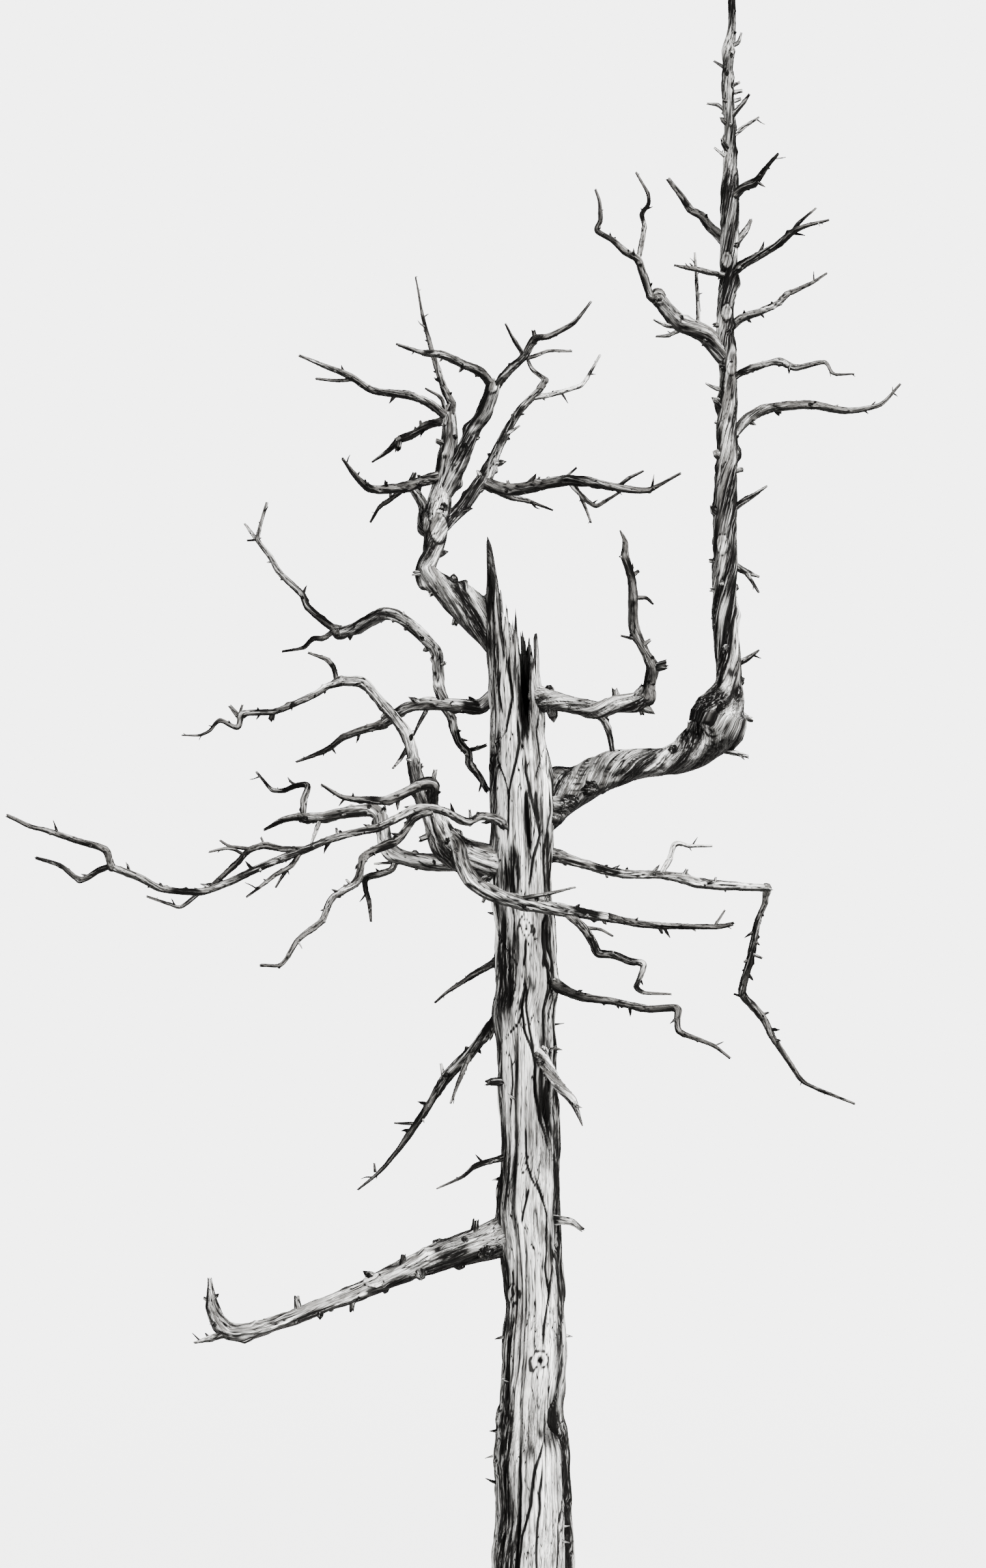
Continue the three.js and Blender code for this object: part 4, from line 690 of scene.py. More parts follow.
def bend_knee(arm, leader):
    """The arm and the leader are one run of wood with a thick knee, wound the other way above it."""
    first = int(np.argmax(leader["girth"] > KNEE.start))
    arm["girth"][-2:] *= KNEE.before
    leader["girth"][first:first + 3] *= KNEE.swell
    whole = {key: concatenate([arm[key], leader[key][first:]]) for key in ("at", "girth")}
    spans = norm(np.diff(whole["at"], axis=0), axis=1)
    twists = [TWISTS["right_arm"]] * len(arm["at"]) + [TWISTS["right_leader"]] * len(leader["at"])
    whole["turn"] = concatenate([[0], np.cumsum(spans * twists[:len(spans)])])
    above = linspace(*LEADER_GLOOM, len(whole["at"]) - len(arm["at"]))
    whole["gloom"] = concatenate([linspace(*ARM_GLOOM, len(arm["at"])), above])
    arm["whole"] = {**whole, "sprung": True}
    leader["whole"] = None


# Spurs stand off a strand at seeded steps, and are skipped where they would touch a limb

# Rules in metres and degrees: the solid frame's own spurs, and finer nubs between them.
SPURS = Sizes(seed=" spurs", step=(0.170, 0.430), reach=(0.034, 0.078), lean=(40, 72), share=0.55,
              least=0.0055, start=0.007, air=0.022)
NUBS = Sizes(seed=" nubs", step=(0.060, 0.210), reach=(0.007, 0.030), lean=(35, 80), share=0.45, least=0.0042,
             start=0.005, air=0.008)
# Shape of a spur: its crook, how far up the limb's girth its second ring is, and its girths.
SPUR = Sizes(crook=0.3, second=0.8, girths=(1.3, 0.7), tip=0.0025)


class Surroundings:
    """Every stretch of every limb, to keep spurs clear of the others."""

    def __init__(self, courses):
        named = [(name, found["at"], found["girth"]) for name, group in courses.items() for found in group]
        self.names = array([name for name, at, _ in named for _ in at[1:]])
        self.start = concatenate([at[:-1] for _, at, _ in named])
        ends = concatenate([at[1:] for _, at, _ in named])
        self.way = ends - self.start
        self.girth = concatenate([maximum(girth[:-1], girth[1:]) for _, _, girth in named])
        self.low, self.high = minimum(self.start, ends).min(axis=0), maximum(self.start, ends).max(axis=0)

    def clear(self, tip, name, air):
        if not (np.all(tip > self.low) and np.all(tip < self.high)):
            return False
        share = unit(((tip - self.start) * self.way).sum(1) / (self.way ** 2).sum(1))
        gaps = norm(self.start + self.way * share[:, None] - tip, axis=1)
        if np.any((gaps < self.girth + air) & (self.names != name)):
            return False
        left, right = trunk_edges(array([tip[2]]))
        return math.hypot(tip[0] - (left[0] + right[0]) / 2, tip[1]) > (right[0] - left[0]) / 2 + air


def spur_courses(name, courses, around, rule):
    """The spurs or nubs of one limb, by their rule."""
    draw = seeded_draws(name + rule.seed)

    def between(low, high):
        return low + (high - low) * draw()

    spurs = []
    for found in courses[name]:
        ahead = between(*rule.step)
        at, girths = found["at"], found["girth"]
        for start, end, near, far in zip(at, at[1:], girths, girths[1:]):
            way = end - start
            length = float(norm(way))
            way = way / length
            while ahead < length:
                girth = near + (far - near) * ahead / length
                foot = start + way * ahead
                lean, turn = math.radians(between(*rule.lean)), between(0, 2 * math.pi)
                side = Vector((0, 1, 0)).cross(Vector(way)).normalized()
                side = array(Quaternion(Vector(way), turn) @ side)
                aim = way * math.cos(lean) + side * math.sin(lean)
                reach = girth + between(*rule.reach)
                tip = foot + aim * reach
                thin = max(girth * rule.share, rule.least)
                crook = (draw() - 0.5) * SPUR.crook * (reach - girth)
                if girth > rule.start and around.clear(tip, name, rule.air):
                    middle = foot + aim * (girth + (reach - girth) * 0.5) + np.cross(aim, way) * crook
                    root, slim = SPUR.girths
                    spurs.append({"at": array([foot, foot + aim * girth * SPUR.second, middle, tip]),
                                  "girth": array([thin * root, thin, thin * slim, SPUR.tip])})
                ahead += between(*rule.step)
            ahead -= length
    return spurs


# Trunk

EDGE_HEIGHTS, EDGE_LEFT, EDGE_RIGHT = array(TRUNK_EDGES, dtype=float).T * MM
# Table of the trunk's section: its top in metres, how many heights, and degrees between bearings.
TABLE = Sizes(top=7.5, heights=751, degrees=5.0)
# The furthest share of the half width at which a place still counts as on the front.
FRONT_MOST = 0.985
SPLINTER_CURVE = 1.1
# Splinters finer than the frame's columns, and nicks between them, in metres.
FINE_SPLINTERS = Sizes(start=0.7, tall=0.35, nick=0.045, across=15, along=0.5, seed=7)
# Noise on the trunk: repeats across and along the grain in a metre, and its seed.
TRUNK_NOISE = {
    "grooves": (4.2, 0.75, 11), "thin_grooves": (8.5, 1.1, 19), "fibres": (15, 2.4, 5),
    "knobs": (3.0, 6.5, 29), "rough_edges": (6.5, 8, 83), "hollow_rims": (16, 5, 51),
    "knot_rims": (9, 13, 37), "collars": (5, 5, 63), "collar_cracks": (7, 7, 61),
    "rags": (6, 1.7, 53), "fine_rags": (14, 4, 59), "behind": (2.2, 0.7, 67),
}
# Height in metres that each of these gives the trunk's surface.
RELIEF = Sizes(knobs=0.004, grooves=0.012, thin_grooves=0.006, fibres=0.003, rough_edges=0.011)
GROOVE_WIDTHS = {"grooves": 0.085, "thin_grooves": 0.07}
GROOVE_DARK = Sizes(grooves=0.55, thin_grooves=0.35)
# Where the trunk turns away from the front, rough and with painted shade on its sides: the sideways share at
# which it starts, and over how much.
EDGES = {"rough": (0.74, 0.18), "shaded_sides": (0.76, 0.14)}
# Cracks: margin in metres, taper of the ends, wander in degrees, and the pale lips beside them.
CRACK = Sizes(margin=0.02, taper=7, blunt=0.12, wander=2.0, wander_step=9, seed=41, least_width=0.55,
              more_width=0.45, lip_at=1.9, lip_width=0.9, lip=0.22, dark=1.25)
# Seeded cracks, as (least, spread): foot and length in metres, bearing in degrees, then mm.
BACK_CRACKS = {"foot": (0.1, 5.9), "length": (0.4, 1.3), "bearing": (4, 172), "bends": 5, "wander": 9,
               "half_width": (6, 6), "depth": (12, 14)}
HOLLOW_RIM = Sizes(ragged=0.5, full=1.5, width=0.72, least=0.2)
# Knots: flattening, ragged rim, the raised ring and the eye as (height, place, width), and their dark.
KNOT = Sizes(flat=0.8, ragged=0.5, ring=(0.42, 0.9, 0.42), eye=(0.5, 0.42), eye_dark=0.85, crack_dark=0.95,
             crack_at=1.45, crack_width=0.22)
# Collars where limbs leave the trunk, in shares of the limb's girth.
COLLAR = Sizes(flat=0.75, height=0.30, width=1.45, uneven=0.25, crack_dark=0.5, crack_at=1.5,
               crack_width=0.12)
# Painted shade round where limbs leave the trunk, centred a little below them, in shares of the limb's girth.
COLLAR_SHADE = Sizes(flat=0.8, low=0.35, full=1.4, fade=0.85, ragged=0.5, dark=0.85)
# How the dark strips on the front fade and fray: painted shade, partly stain.
FRONT_SHADE_AND_STAIN = Sizes(full=1.5, fade=1.3, ragged=0.55, dark=1)
# Painted shade on the trunk's sides, where it turns away from the front.
SIDE_SHADE = Sizes(full=0.85, fade=0, ragged=0.7, dark=0.95)
FINE_RAGS = 0.5
BACK_STAIN = Sizes(strength=1.6, least=0.1, start=0.2, dark=0.8)
# The broken top: how much its relief fades, and the dark band under its rim.
TOP = Sizes(relief_loss=0.55, band=0.09, band_fade=4, band_dark=0.9)
FOOT_RELIEF = 0.3
# Inside of the hollow: rings, gap under the rim, ribs, and a thick horn on the left; its ridge is set low,
# which gives it painted shade.
INSIDE = Sizes(rings=26, lip_gap=0.006, relief=0.45, rib=0.010, rib_across=9, rib_along=1.2, rib_seed=71,
               least=0.02, floor_drop=0.03, ridge=-0.6)
HORN = Sizes(bearing=180, width=30, thin=0.018, taper=0.17, below=0.4)
WALL = Sizes(thin=0.004, share=0.45)
# Painted shade inside the hollow: darker from the rim down to its floor.
INSIDE_DARK = Sizes(full=1.15, fade=0.8, share=0.9, least=0.1)
RIDGE_HEIGHT = 0.02
# Stubs on the trunk as (across, depth, height, girth) in mm.
STUBS = (((60, -30, 3310, 38), (150, -48, 3306, 27), (215, -60, 3296, 22), (282, -75, 3254, 14)),
         ((-150, -40, 4150, 34), (-230, -56, 4158, 25), (-272, -66, 4156, 24), (-292, -70, 4152, 17)))
STUB = Sizes(twist=0.3, gloom=0.8)
# Short points on the trunk, as (least, spread) in metres; the first ones are on its left edge.
TRUNK_NUBS = Sizes(left_bearing=184, height=(0.5, 5.3), length=(0.045, 0.035), girth=(0.009, 0.008), rise=0.9,
                   sink=0.3, root=0.02, bend=0.4, thin=0.7, tip=0.003, gloom=0.5)
SMALL_TWIST = 0.5
COLLAR_STEPS = 200


def trunk_edges(height):
    row = np.clip(np.searchsorted(EDGE_HEIGHTS, height) - 1, 0, len(EDGE_HEIGHTS) - 2)
    low, high = EDGE_HEIGHTS[row], EDGE_HEIGHTS[row + 1]
    share = unit((height - low) / (high - low))
    eased = share * share * (3 - 2 * share) * 0.5 + share * 0.5
    return tuple(side[row] + (side[row + 1] - side[row]) * eased for side in (EDGE_LEFT, EDGE_RIGHT))


def fluted(bearing, height):
    """Radius of the trunk's section at a bearing, as a share of its half width."""
    radius = 1.0
    for count, share, first in FLUTES:
        radius = radius + share * cos(radians(count * (bearing - first - TRUNK_TWIST * height)))
    phi = radians(bearing - TRUNK_TWIST * height)
    for share, across, along, seed in ROPES:
        radius = radius + share * ring_noise(phi, across, height * along, seed)
    swing = cos(radians(BUTTRESS.count * (bearing - BUTTRESS.bearing)))
    return radius + BUTTRESS.share * np.exp(-height / BUTTRESS.fade) * swing


def section_table():
    """Half width and middle of the trunk at even heights."""
    heights = linspace(0, TABLE.top, TABLE.heights)
    left, right = trunk_edges(heights)
    bearings = np.arange(0, 360, TABLE.degrees)[:, None]
    reach = fluted(bearings, heights) * cos(radians(bearings))
    half = (right - left) / (reach.max(axis=0) - reach.min(axis=0))
    return heights, half, left - half * reach.min(axis=0)


SECTION = section_table()


def half_width(height):
    return interp(height, SECTION[0], SECTION[1])


def middle_of(height):
    return interp(height, SECTION[0], SECTION[2])


def front_bearing(across, height):
    """Bearing in degrees of a place on the trunk's front that shows at this x."""
    share = (across - middle_of(height)) / half_width(height)
    return -math.degrees(math.acos(min(max(share, -FRONT_MOST), FRONT_MOST)))


def turned(bearing):
    return (bearing + 180) % 360 - 180


def aside(bearing, at, height):
    """Distance round the trunk's surface from another bearing."""
    return radians(turned(bearing - at)) * half_width(height)


def from_spot(bearing, height, spot):
    """Distance from the middle of an ellipse on the trunk's front, which is 1 at its rim."""
    x, z, wide, high = metres(spot)
    return hypot(aside(bearing, front_bearing(x, z), height) / wide, (height - z) / high)


def sideways(bearing, kind):
    """How far a bearing is round to the left or right edge."""
    first, over = EDGES[kind]
    return unit((np.abs(cos(radians(bearing))) - first) / over)


def crack_round(gap, rule, size=1):
    return rule.crack_dark * bell(gap - rule.crack_at * size, rule.crack_width * size)


def grain_noise(bearing, height, name):
    phi = radians(bearing - TRUNK_TWIST * height)
    across, along, seed = TRUNK_NOISE[name]
    return ring_noise(phi, across, height * along, seed)


def rim_height(bearing):
    height = np.full(bearing.shape, HOLLOW.rim)
    for at, tip, half in SPLINTERS:
        near = maximum(0, 1 - np.abs(turned(bearing - at)) / half)
        height = maximum(height, HOLLOW.rim + (tip * MM - HOLLOW.rim) * near ** SPLINTER_CURVE)
    off = minimum(np.abs(turned(bearing - CLEFT.bearing)) / CLEFT.half_width, 1)
    return minimum(height, CLEFT.floor + (height - CLEFT.floor) * off * off)


def crack_paths(settings):
    """Cracks as bearing over height: those that show on the front, and seeded ones behind."""
    paths = []
    for width, depth, places in FRONT_CRACKS:
        spots = sorted((z * MM, front_bearing(x * MM, z * MM)) for x, z in places)
        paths.append((array(spots), width * MM, depth * MM))
    draw = seeded_draws("cracks round the back")
    for _ in range(settings.back_cracks):
        low, length, bearing = (spread(draw, *BACK_CRACKS[key]) for key in ("foot", "length", "bearing"))
        steps = np.arange(BACK_CRACKS["bends"])
        last = BACK_CRACKS["bends"] - 1
        wander = array([BACK_CRACKS["wander"] * (draw() - 0.5) for _ in steps])
        bearings = bearing + TRUNK_TWIST * length * steps / last + wander
        spots = np.stack([low + length * steps / last, bearings], 1)
        width, depth = (spread(draw, *BACK_CRACKS[key]) * MM for key in ("half_width", "depth"))
        paths.append((spots, width, depth))
    return paths


def carve_cracks(relief, hollow, bearing, height, settings):
    for spots, width, depth in crack_paths(settings):
        low, high = spots[0, 0], spots[-1, 0]
        inside = (height > low - CRACK.margin) & (height < high + CRACK.margin)
        heights = height[inside]
        at = interp(heights, spots[:, 0], spots[:, 1])
        share = (heights - low) / (high - low)
        fade = unit(minimum(share, 1 - share) * CRACK.taper + CRACK.blunt)
        row = np.full(at.shape, width * 1000)
        wander = noise(heights * CRACK.wander_step, row, 0.5, CRACK.seed) * CRACK.wander
        gap = np.abs(aside(bearing[inside] - at, wander, heights))
        mark = bell(gap, width * (CRACK.least_width + CRACK.more_width * fade)) * fade
        lips = bell(gap - width * CRACK.lip_at, width * CRACK.lip_width) * fade
        relief[inside] += -depth * settings.crack_depth * mark + depth * CRACK.lip * lips
        hollow[inside] = maximum(hollow[inside], minimum(CRACK.dark * mark, 1))


def carve_knots(relief, hollow, bearing, height):
    ragged = 1 + KNOT.ragged * grain_noise(bearing, height, "knot_rims")
    ring_height, ring_at, ring_width = KNOT.ring
    eye_depth, eye_width = KNOT.eye
    for x, z, size in map(metres, FRONT_KNOTS):
        gap = hypot(aside(bearing, front_bearing(x, z), height), (height - z) * KNOT.flat) / size * ragged
        ring, eye = bell(gap - ring_at, ring_width), bell(gap, eye_width)
        relief += size * (ring_height * ring - eye_depth * eye)
        hollow = maximum(hollow, maximum(KNOT.eye_dark * eye, crack_round(gap, KNOT)))
    return hollow


def trunk_relief(bearing, height, settings, collars):
    """How far the weathered surface stands off the smooth trunk, and how deep in a crack it is."""
    def layer(name):
        return grain_noise(bearing, height, name)

    grooves, thin = (bell(layer(name), width) for name, width in GROOVE_WIDTHS.items())
    relief = (RELIEF.knobs * layer("knobs") - RELIEF.grooves * grooves - RELIEF.thin_grooves * thin
              + RELIEF.fibres * layer("fibres"))
    relief += RELIEF.rough_edges * sideways(bearing, "rough") * layer("rough_edges")
    hollow = GROOVE_DARK.grooves * grooves + GROOVE_DARK.thin_grooves * thin
    carve_cracks(relief, hollow, bearing, height, settings)
    ragged = 1 + HOLLOW_RIM.ragged * layer("hollow_rims")
    for *spot, depth, dark in FRONT_HOLLOWS:
        gap = from_spot(bearing, height, spot)
        relief -= depth * MM * bell(gap, 1)
        # Painted shade inside each hollow, darkest in its middle.
        pit = unit(HOLLOW_RIM.full * bell(gap * ragged, HOLLOW_RIM.width) - HOLLOW_RIM.least)
        hollow = maximum(hollow, pit * dark)
    hollow = carve_knots(relief, hollow, bearing, height)
    uneven, cracked = 1 + COLLAR.uneven * layer("collars"), layer("collar_cracks") > 0
    for at, z, girth in collars:
        gap = hypot(aside(bearing, at, height), (height - z) * COLLAR.flat)
        relief += COLLAR.height * girth * bell(gap, girth * COLLAR.width) * uneven
        hollow = maximum(hollow, crack_round(gap, COLLAR, girth) * cracked)
    return relief * settings.relief, unit(hollow)


def trunk_stain_and_shade(bearing, height, collars):
    """How dark the surface is: painted shade on its ragged sides, dark front strips of painted shade and
    stain, dark stains behind, and painted shade where limbs leave it.
    """
    rags, fine_rags, behind = (grain_noise(bearing, height, name) for name in ("rags", "fine_rags", "behind"))
    ragged = rags + FINE_RAGS * fine_rags

    def strip(gap, rule):
        return unit(rule.full - rule.fade * gap + rule.ragged * ragged) * rule.dark

    # Painted shade on the left and right sides, ragged along the grain.
    sides = sideways(bearing, "shaded_sides") * strip(0, SIDE_SHADE)
    behind = unit(BACK_STAIN.strength * behind - BACK_STAIN.least)
    behind = behind * (sin(radians(bearing)) > BACK_STAIN.start)
    stain_and_shade = maximum(sides, behind * BACK_STAIN.dark)
    # Dark strips on the front: painted shade, partly stain, and a painted shadow under the crossing bough.
    for *spot, dark in FRONT_SHADE_AND_STAINS:
        gap = from_spot(bearing, height, spot)
        stain_and_shade = maximum(stain_and_shade, strip(gap, FRONT_SHADE_AND_STAIN) * dark)
    # Painted shade round the roots of the limbs, set a little below them.
    for at, z, girth in collars:
        rise = (height - z) * COLLAR_SHADE.flat + COLLAR_SHADE.low * girth
        gap = hypot(aside(bearing, at, height), rise) / girth
        stain_and_shade = maximum(stain_and_shade, strip(gap, COLLAR_SHADE))
    return stain_and_shade


def limb_collars(courses):
    """Where limbs leave the trunk: bearing, height and girth."""
    collars = []
    for name, entry in LIMBS.items():
        if entry["parent"] != "trunk":
            continue
        at, girth = courses[name][0]["at"], courses[name][0]["girth"]
        bends = np.arange(len(at))
        fine = linspace(0, len(at) - 1, COLLAR_STEPS)
        places = np.stack([interp(fine, bends, at[:, axis]) for axis in range(3)], 1)
        first, bearing = trunk_exit(places)
        collars.append((bearing, places[first, 2], float(interp(fine[first], bends, girth))))
    return collars


def trunk_exit(places):
    """Where a limb's course comes out of the trunk: the index of the place, and its bearing."""
    gap = hypot(places[:, 0] - middle_of(places[:, 2]), places[:, 1] / TRUNK_DEPTH)
    first = int(np.argmax(gap > half_width(places[:, 2])))
    x, y, z = places[first]
    return first, math.degrees(math.atan2(y / TRUNK_DEPTH, x - middle_of(z)))


def trunk_place(bearing, height, radius):
    angle = radians(bearing)
    x, y = middle_of(height) + radius * cos(angle), radius * TRUNK_DEPTH * sin(angle)
    return np.stack([x, y, height], -1)


def splintered_rim(bearing):
    """Height of the broken top at each bearing, with fine splinters between the frame's columns."""
    draw = seeded_draws("fine splinters")
    spikes = array([draw() for _ in bearing[1:]])
    spikes = np.append(spikes, spikes[0])
    around = linspace(0, 360, FRAME_COLUMNS + 1)
    rule = FINE_SPLINTERS
    nicks = ring_noise(radians(bearing), rule.across, rule.along, rule.seed)
    nicks = rule.nick * maximum(nicks, 0)
    rim = interp(bearing, around, rim_height(around))
    return rim + (maximum(spikes - rule.start, 0) * rule.tall - nicks)


def hollow_wall(bearing, rim, settings):
    """Inside of the hollow: it follows the outside, thin at the rim and thick at its floor."""
    steps = linspace(1, 0, INSIDE.rings)[:, None]
    heights = HOLLOW.floor + (rim - INSIDE.lip_gap - HOLLOW.floor) * steps
    bearings = np.repeat(bearing[None, :], len(heights), 0)
    back, _ = trunk_relief(bearings, heights, settings, [])
    along = heights * INSIDE.rib_along
    ribs = ring_noise(radians(bearings), INSIDE.rib_across, along, INSIDE.rib_seed)
    wall = HOLLOW.wall + (HOLLOW.lip - HOLLOW.wall) * steps
    below = rim - heights
    horn = bell(turned(bearings - HORN.bearing), HORN.width)
    wall = wall + horn * (HORN.thin + HORN.taper * minimum(below, HORN.below) - wall)
    wall = minimum(wall, WALL.thin + WALL.share * below)
    sunk = minimum(back * INSIDE.relief, 0)
    radius = half_width(heights) * fluted(bearings, heights) + sunk - wall
    radius = radius + INSIDE.rib * ribs * (1 - steps)
    # Painted shade inside the hollow, darkest at its floor.
    dark = np.full(bearings.shape, INSIDE_DARK.share)
    dark = dark * unit(INSIDE_DARK.full - INSIDE_DARK.fade * steps) + INSIDE_DARK.least
    return bearings, heights, trunk_place(bearings, heights, maximum(radius, INSIDE.least)), dark


def grow_trunk(settings, courses):
    """One skin: up the outside from the middle of the foot, over the rim and down the hollow."""
    around = settings.columns + 1
    bearing = linspace(0, 360, around)
    rim = splintered_rim(bearing)
    low = linspace(0, SHEAR_FROM, settings.rows)
    upper = linspace(0, 1, settings.top_rows + 1)[1:, None]
    heights = concatenate([np.repeat(low[:, None], around, 1), SHEAR_FROM + (rim - SHEAR_FROM) * upper])
    bearings = np.repeat(bearing[None, :], len(heights), 0)
    collars = limb_collars(courses)
    relief, hollow = trunk_relief(bearings, heights, settings, collars)
    share = unit((heights - SHEAR_FROM) / (rim - SHEAR_FROM))
    relief *= 1 - TOP.relief_loss * share
    band = unit(1 - (rim - heights) / TOP.band) * unit(TOP.band_fade * share) * TOP.band_dark
    hollow = maximum(hollow, band)
    radius = half_width(heights) * fluted(bearings, heights) + relief
    radius[:1] = half_width(0) * fluted(bearings[:1], 0) + relief[:1] * FOOT_RELIEF
    outer = trunk_place(bearings, heights, radius)
    inner_bearings, inner_heights, inner, inside = hollow_wall(bearing, rim, settings)
    foot = np.zeros((1, around, 3))
    floor = foot + (float(middle_of(HOLLOW.floor)), 0, HOLLOW.floor - INSIDE.floor_drop)
    place = concatenate([foot, outer, inner, floor])
    all_bearings = concatenate([bearings[:1], bearings, inner_bearings, inner_bearings[-1:]])
    all_heights = concatenate([heights[:1], heights, inner_heights, inner_heights[-1:]])
    phi = radians(all_bearings - TRUNK_TWIST * all_heights)
    wide = half_width(all_heights)
    grain = np.stack([wide * cos(phi), wide * sin(phi), all_heights], -1)
    ends = np.zeros((1, around))
    # The inside of the hollow is set low and dark, and its floor lowest and darkest: painted shade.
    ridge = concatenate([ends, relief / RIDGE_HEIGHT, np.full(inside.shape, INSIDE.ridge), ends - 1.0])
    hollow = concatenate([ends, hollow, inside, ends + 1.0])
    growth = Growth()
    growth.add(place, grain, ridge, hollow, trunk_stain_and_shade(all_bearings, all_heights, collars))
    for stub in STUBS:
        rows = array(stub) * MM
        growth.tube({"at": rows[:, :3], "girth": rows[:, 3]}, "trunk stub %d" % stub[0][0], STUB.twist,
                    broken=True, gloom=STUB.gloom)
    add_nubs(growth, settings.nubs)
    return growth


def add_nubs(growth, count):
    """Short broken points all round the trunk, those on its left edge first."""
    draw = seeded_draws("trunk nubs")
    rule = TRUNK_NUBS
    spots = [(rule.left_bearing, height * MM) for height in LEFT_NUBS]
    spots += [(360 * draw(), spread(draw, *rule.height)) for _ in range(count)]
    for index, (bearing, height) in enumerate(spots):
        length, girth = spread(draw, *rule.length), spread(draw, *rule.girth)
        rise = rule.rise * draw() - rule.sink
        skin = half_width(height) * float(fluted(array(bearing), array(height)))
        ends = (skin - rule.root, skin + (length - rule.root))
        foot, tip = (trunk_place(bearing, height, radius) for radius in ends)
        bend = (foot + tip) / 2 + (0, 0, rise * length * rule.bend)
        tip = tip + (0, 0, rise * length)
        girths = array([girth, girth * rule.thin, rule.tip])
        growth.tube({"at": array([foot, bend, tip]), "girth": girths}, "trunk nub %d" % index, SMALL_TWIST,
                    fine=False, gloom=rule.gloom)


# Limbs

# Rings of a limb: their step in girths and in metres, the fewest in a stretch, and the ease of bends.
RINGS = Sizes(girths=0.24, least=0.0055, fewest=3, ease=0.95)
# Faces round a limb whose girth is over this many metres.
COLUMNS = ((0.090, 60), (0.060, 48), (0.040, 36), (0.025, 26), (0.015, 18), (0.009, 12), (0.005, 8))
LEAST_COLUMNS = 6
WAVER = Sizes(share=0.13, length=5, apart=3.7, seed=81, from_root=4)
ELBOW = Sizes(full=80, swell=0.16, width=1.5)
FIRST_SIDE = (0.31, -0.86, 0.4)
FLARE = Sizes(over_rim=0.08, width=1.3, swell=0.10, run=3, least=0.15)
# A limb starts this far under the skin of the trunk, or at this share of the way to its middle.
ROOT = Sizes(under_skin=0.026, share=0.5, sideways=0.8, least=0.35, fade=2.4, girths=1.5)
BLOTCH = Sizes(across=14, along=3.2, slim_along=0.12, seed=57, flare=0.25, strength=1.45, most=0.8)
# Painted shade on the left and right sides and along the top of a limb: where it starts, over how much it
# grows, and its strength.
LEFT_SHADE = Sizes(start=0.3, over=0.4, full=0.80, blotch=0.9)
RIGHT_SHADE = Sizes(start=0.62, over=0.3, full=0.60, blotch=1.4)
TOP_SHADE = Sizes(start=0.78, over=0.16, full=0.50, blotch=1.4)
ROOT_SHADE = Sizes(share=0.8, full=0.4, under=0.9, blotch=0.6)
SCAR = Sizes(rim=1.1, sharp=6, away=9.0, lip=0.16, lip_width=0.2, crack_dark=0.9, crack_at=1.28,
             crack_width=0.13)
# Broken ends: the least girth that is ragged, and the spikes and the sunk middle in girths.
BREAK = Sizes(least=0.006, short=0.15, spikes=1.5, across=2.2, along=0.5, seed=91, sunk=0.5, dark=1.0,
              tip_dark=0.3)
RIDGE = Sizes(share=0.12, least=0.35, girth=16)
# Noise on a limb: repeats round it, the least girth that it is measured in, its length in girths, seed.
LIMB_NOISE = {"lumps": (1.2, 0.0375, 2.4, 7), "ropes": (1.9, 0.012, 7, 13), "lines": (3.1, 0.012, 9, 17),
              "burls": (2.0, 0.055, 1.1, 23), "rags": (3.2, 0.022, 1 / 1.3, 31)}
# Relief of a limb in shares of its girth.
LUMPS = Sizes(lumps=0.11, ropes=0.10, groove=0.10, burls=0.10, burl_from=0.15, rags=0.055, groove_width=0.10,
              groove_dark=0.75)
SLIM_LIMB = Sizes(under=0.03, relief=1.35, crack_under=0.012, cracks=0.5)
# Knots and bumps along a limb, as (least, spread): steps in girths or metres, and size.
SPOTS = Sizes(first=(2, 3), size=(0.30, 0.45), girths=(1.4, 4.0), metres=(0.05, 0.14), bump=(0.22, 0.4),
              bump_width=0.8, knots=0.28, round=0.3, tall=(0.5, 0.8), ragged=0.45, across=3, shift=9,
              step=0.9, seed=47)
LIMB_KNOT = Sizes(ring=0.15, ring_at=0.9, width=0.45, eye=0.20, dark=0.9, dark_width=0.5, least=0.7)
# The twist setting is for a limb of this girth, and a slimmer one is wound up to so many times as much.
WOUND = Sizes(girth=0.06, most=3)
SPUR_GLOOM = 0.6
WELD = 2e-6


def eased_run(at, girth):
    """A strand's bends rounded off, with a ring every few millimetres of its girth."""
    spans = norm(np.diff(at, axis=0), axis=1)
    ways = np.diff(at, axis=0) / spans[:, None]
    tangents = concatenate([ways[:1], ways[:-1] + ways[1:], ways[-1:]])
    tangents /= norm(tangents, axis=1)[:, None]
    reach = concatenate([spans[:1], minimum(spans[:-1], spans[1:]), spans[-1:]]) * RINGS.ease
    places, girths, runs, total = [], [], [], 0.0
    for i, span in enumerate(spans):
        mean = (girth[i] + girth[i + 1]) / 2
        step = max(mean * RINGS.girths, RINGS.least)
        count = max(RINGS.fewest, int(math.ceil(span / step)))
        share = (np.arange(count) / count if i < len(spans) - 1 else linspace(0, 1, count + 1))[:, None]
        square, cube = share ** 2, share ** 3
        leave, arrive = cube - 2 * square + share, cube - square
        places.append((2 * cube - 3 * square + 1) * at[i] + leave * tangents[i] * reach[i]
                      + (3 * square - 2 * cube) * at[i + 1] + arrive * tangents[i + 1] * reach[i + 1])
        girths.append(girth[i] + (girth[i + 1] - girth[i]) * share[:, 0])
        runs.append(total + span * share[:, 0])
        total += span
    corners = concatenate([[0], np.cumsum(spans)])[1:-1]
    turns = np.degrees(np.arccos(np.clip((ways[:-1] * ways[1:]).sum(1), -1, 1)))
    return concatenate(places), concatenate(girths), concatenate(runs), list(zip(corners, turns))


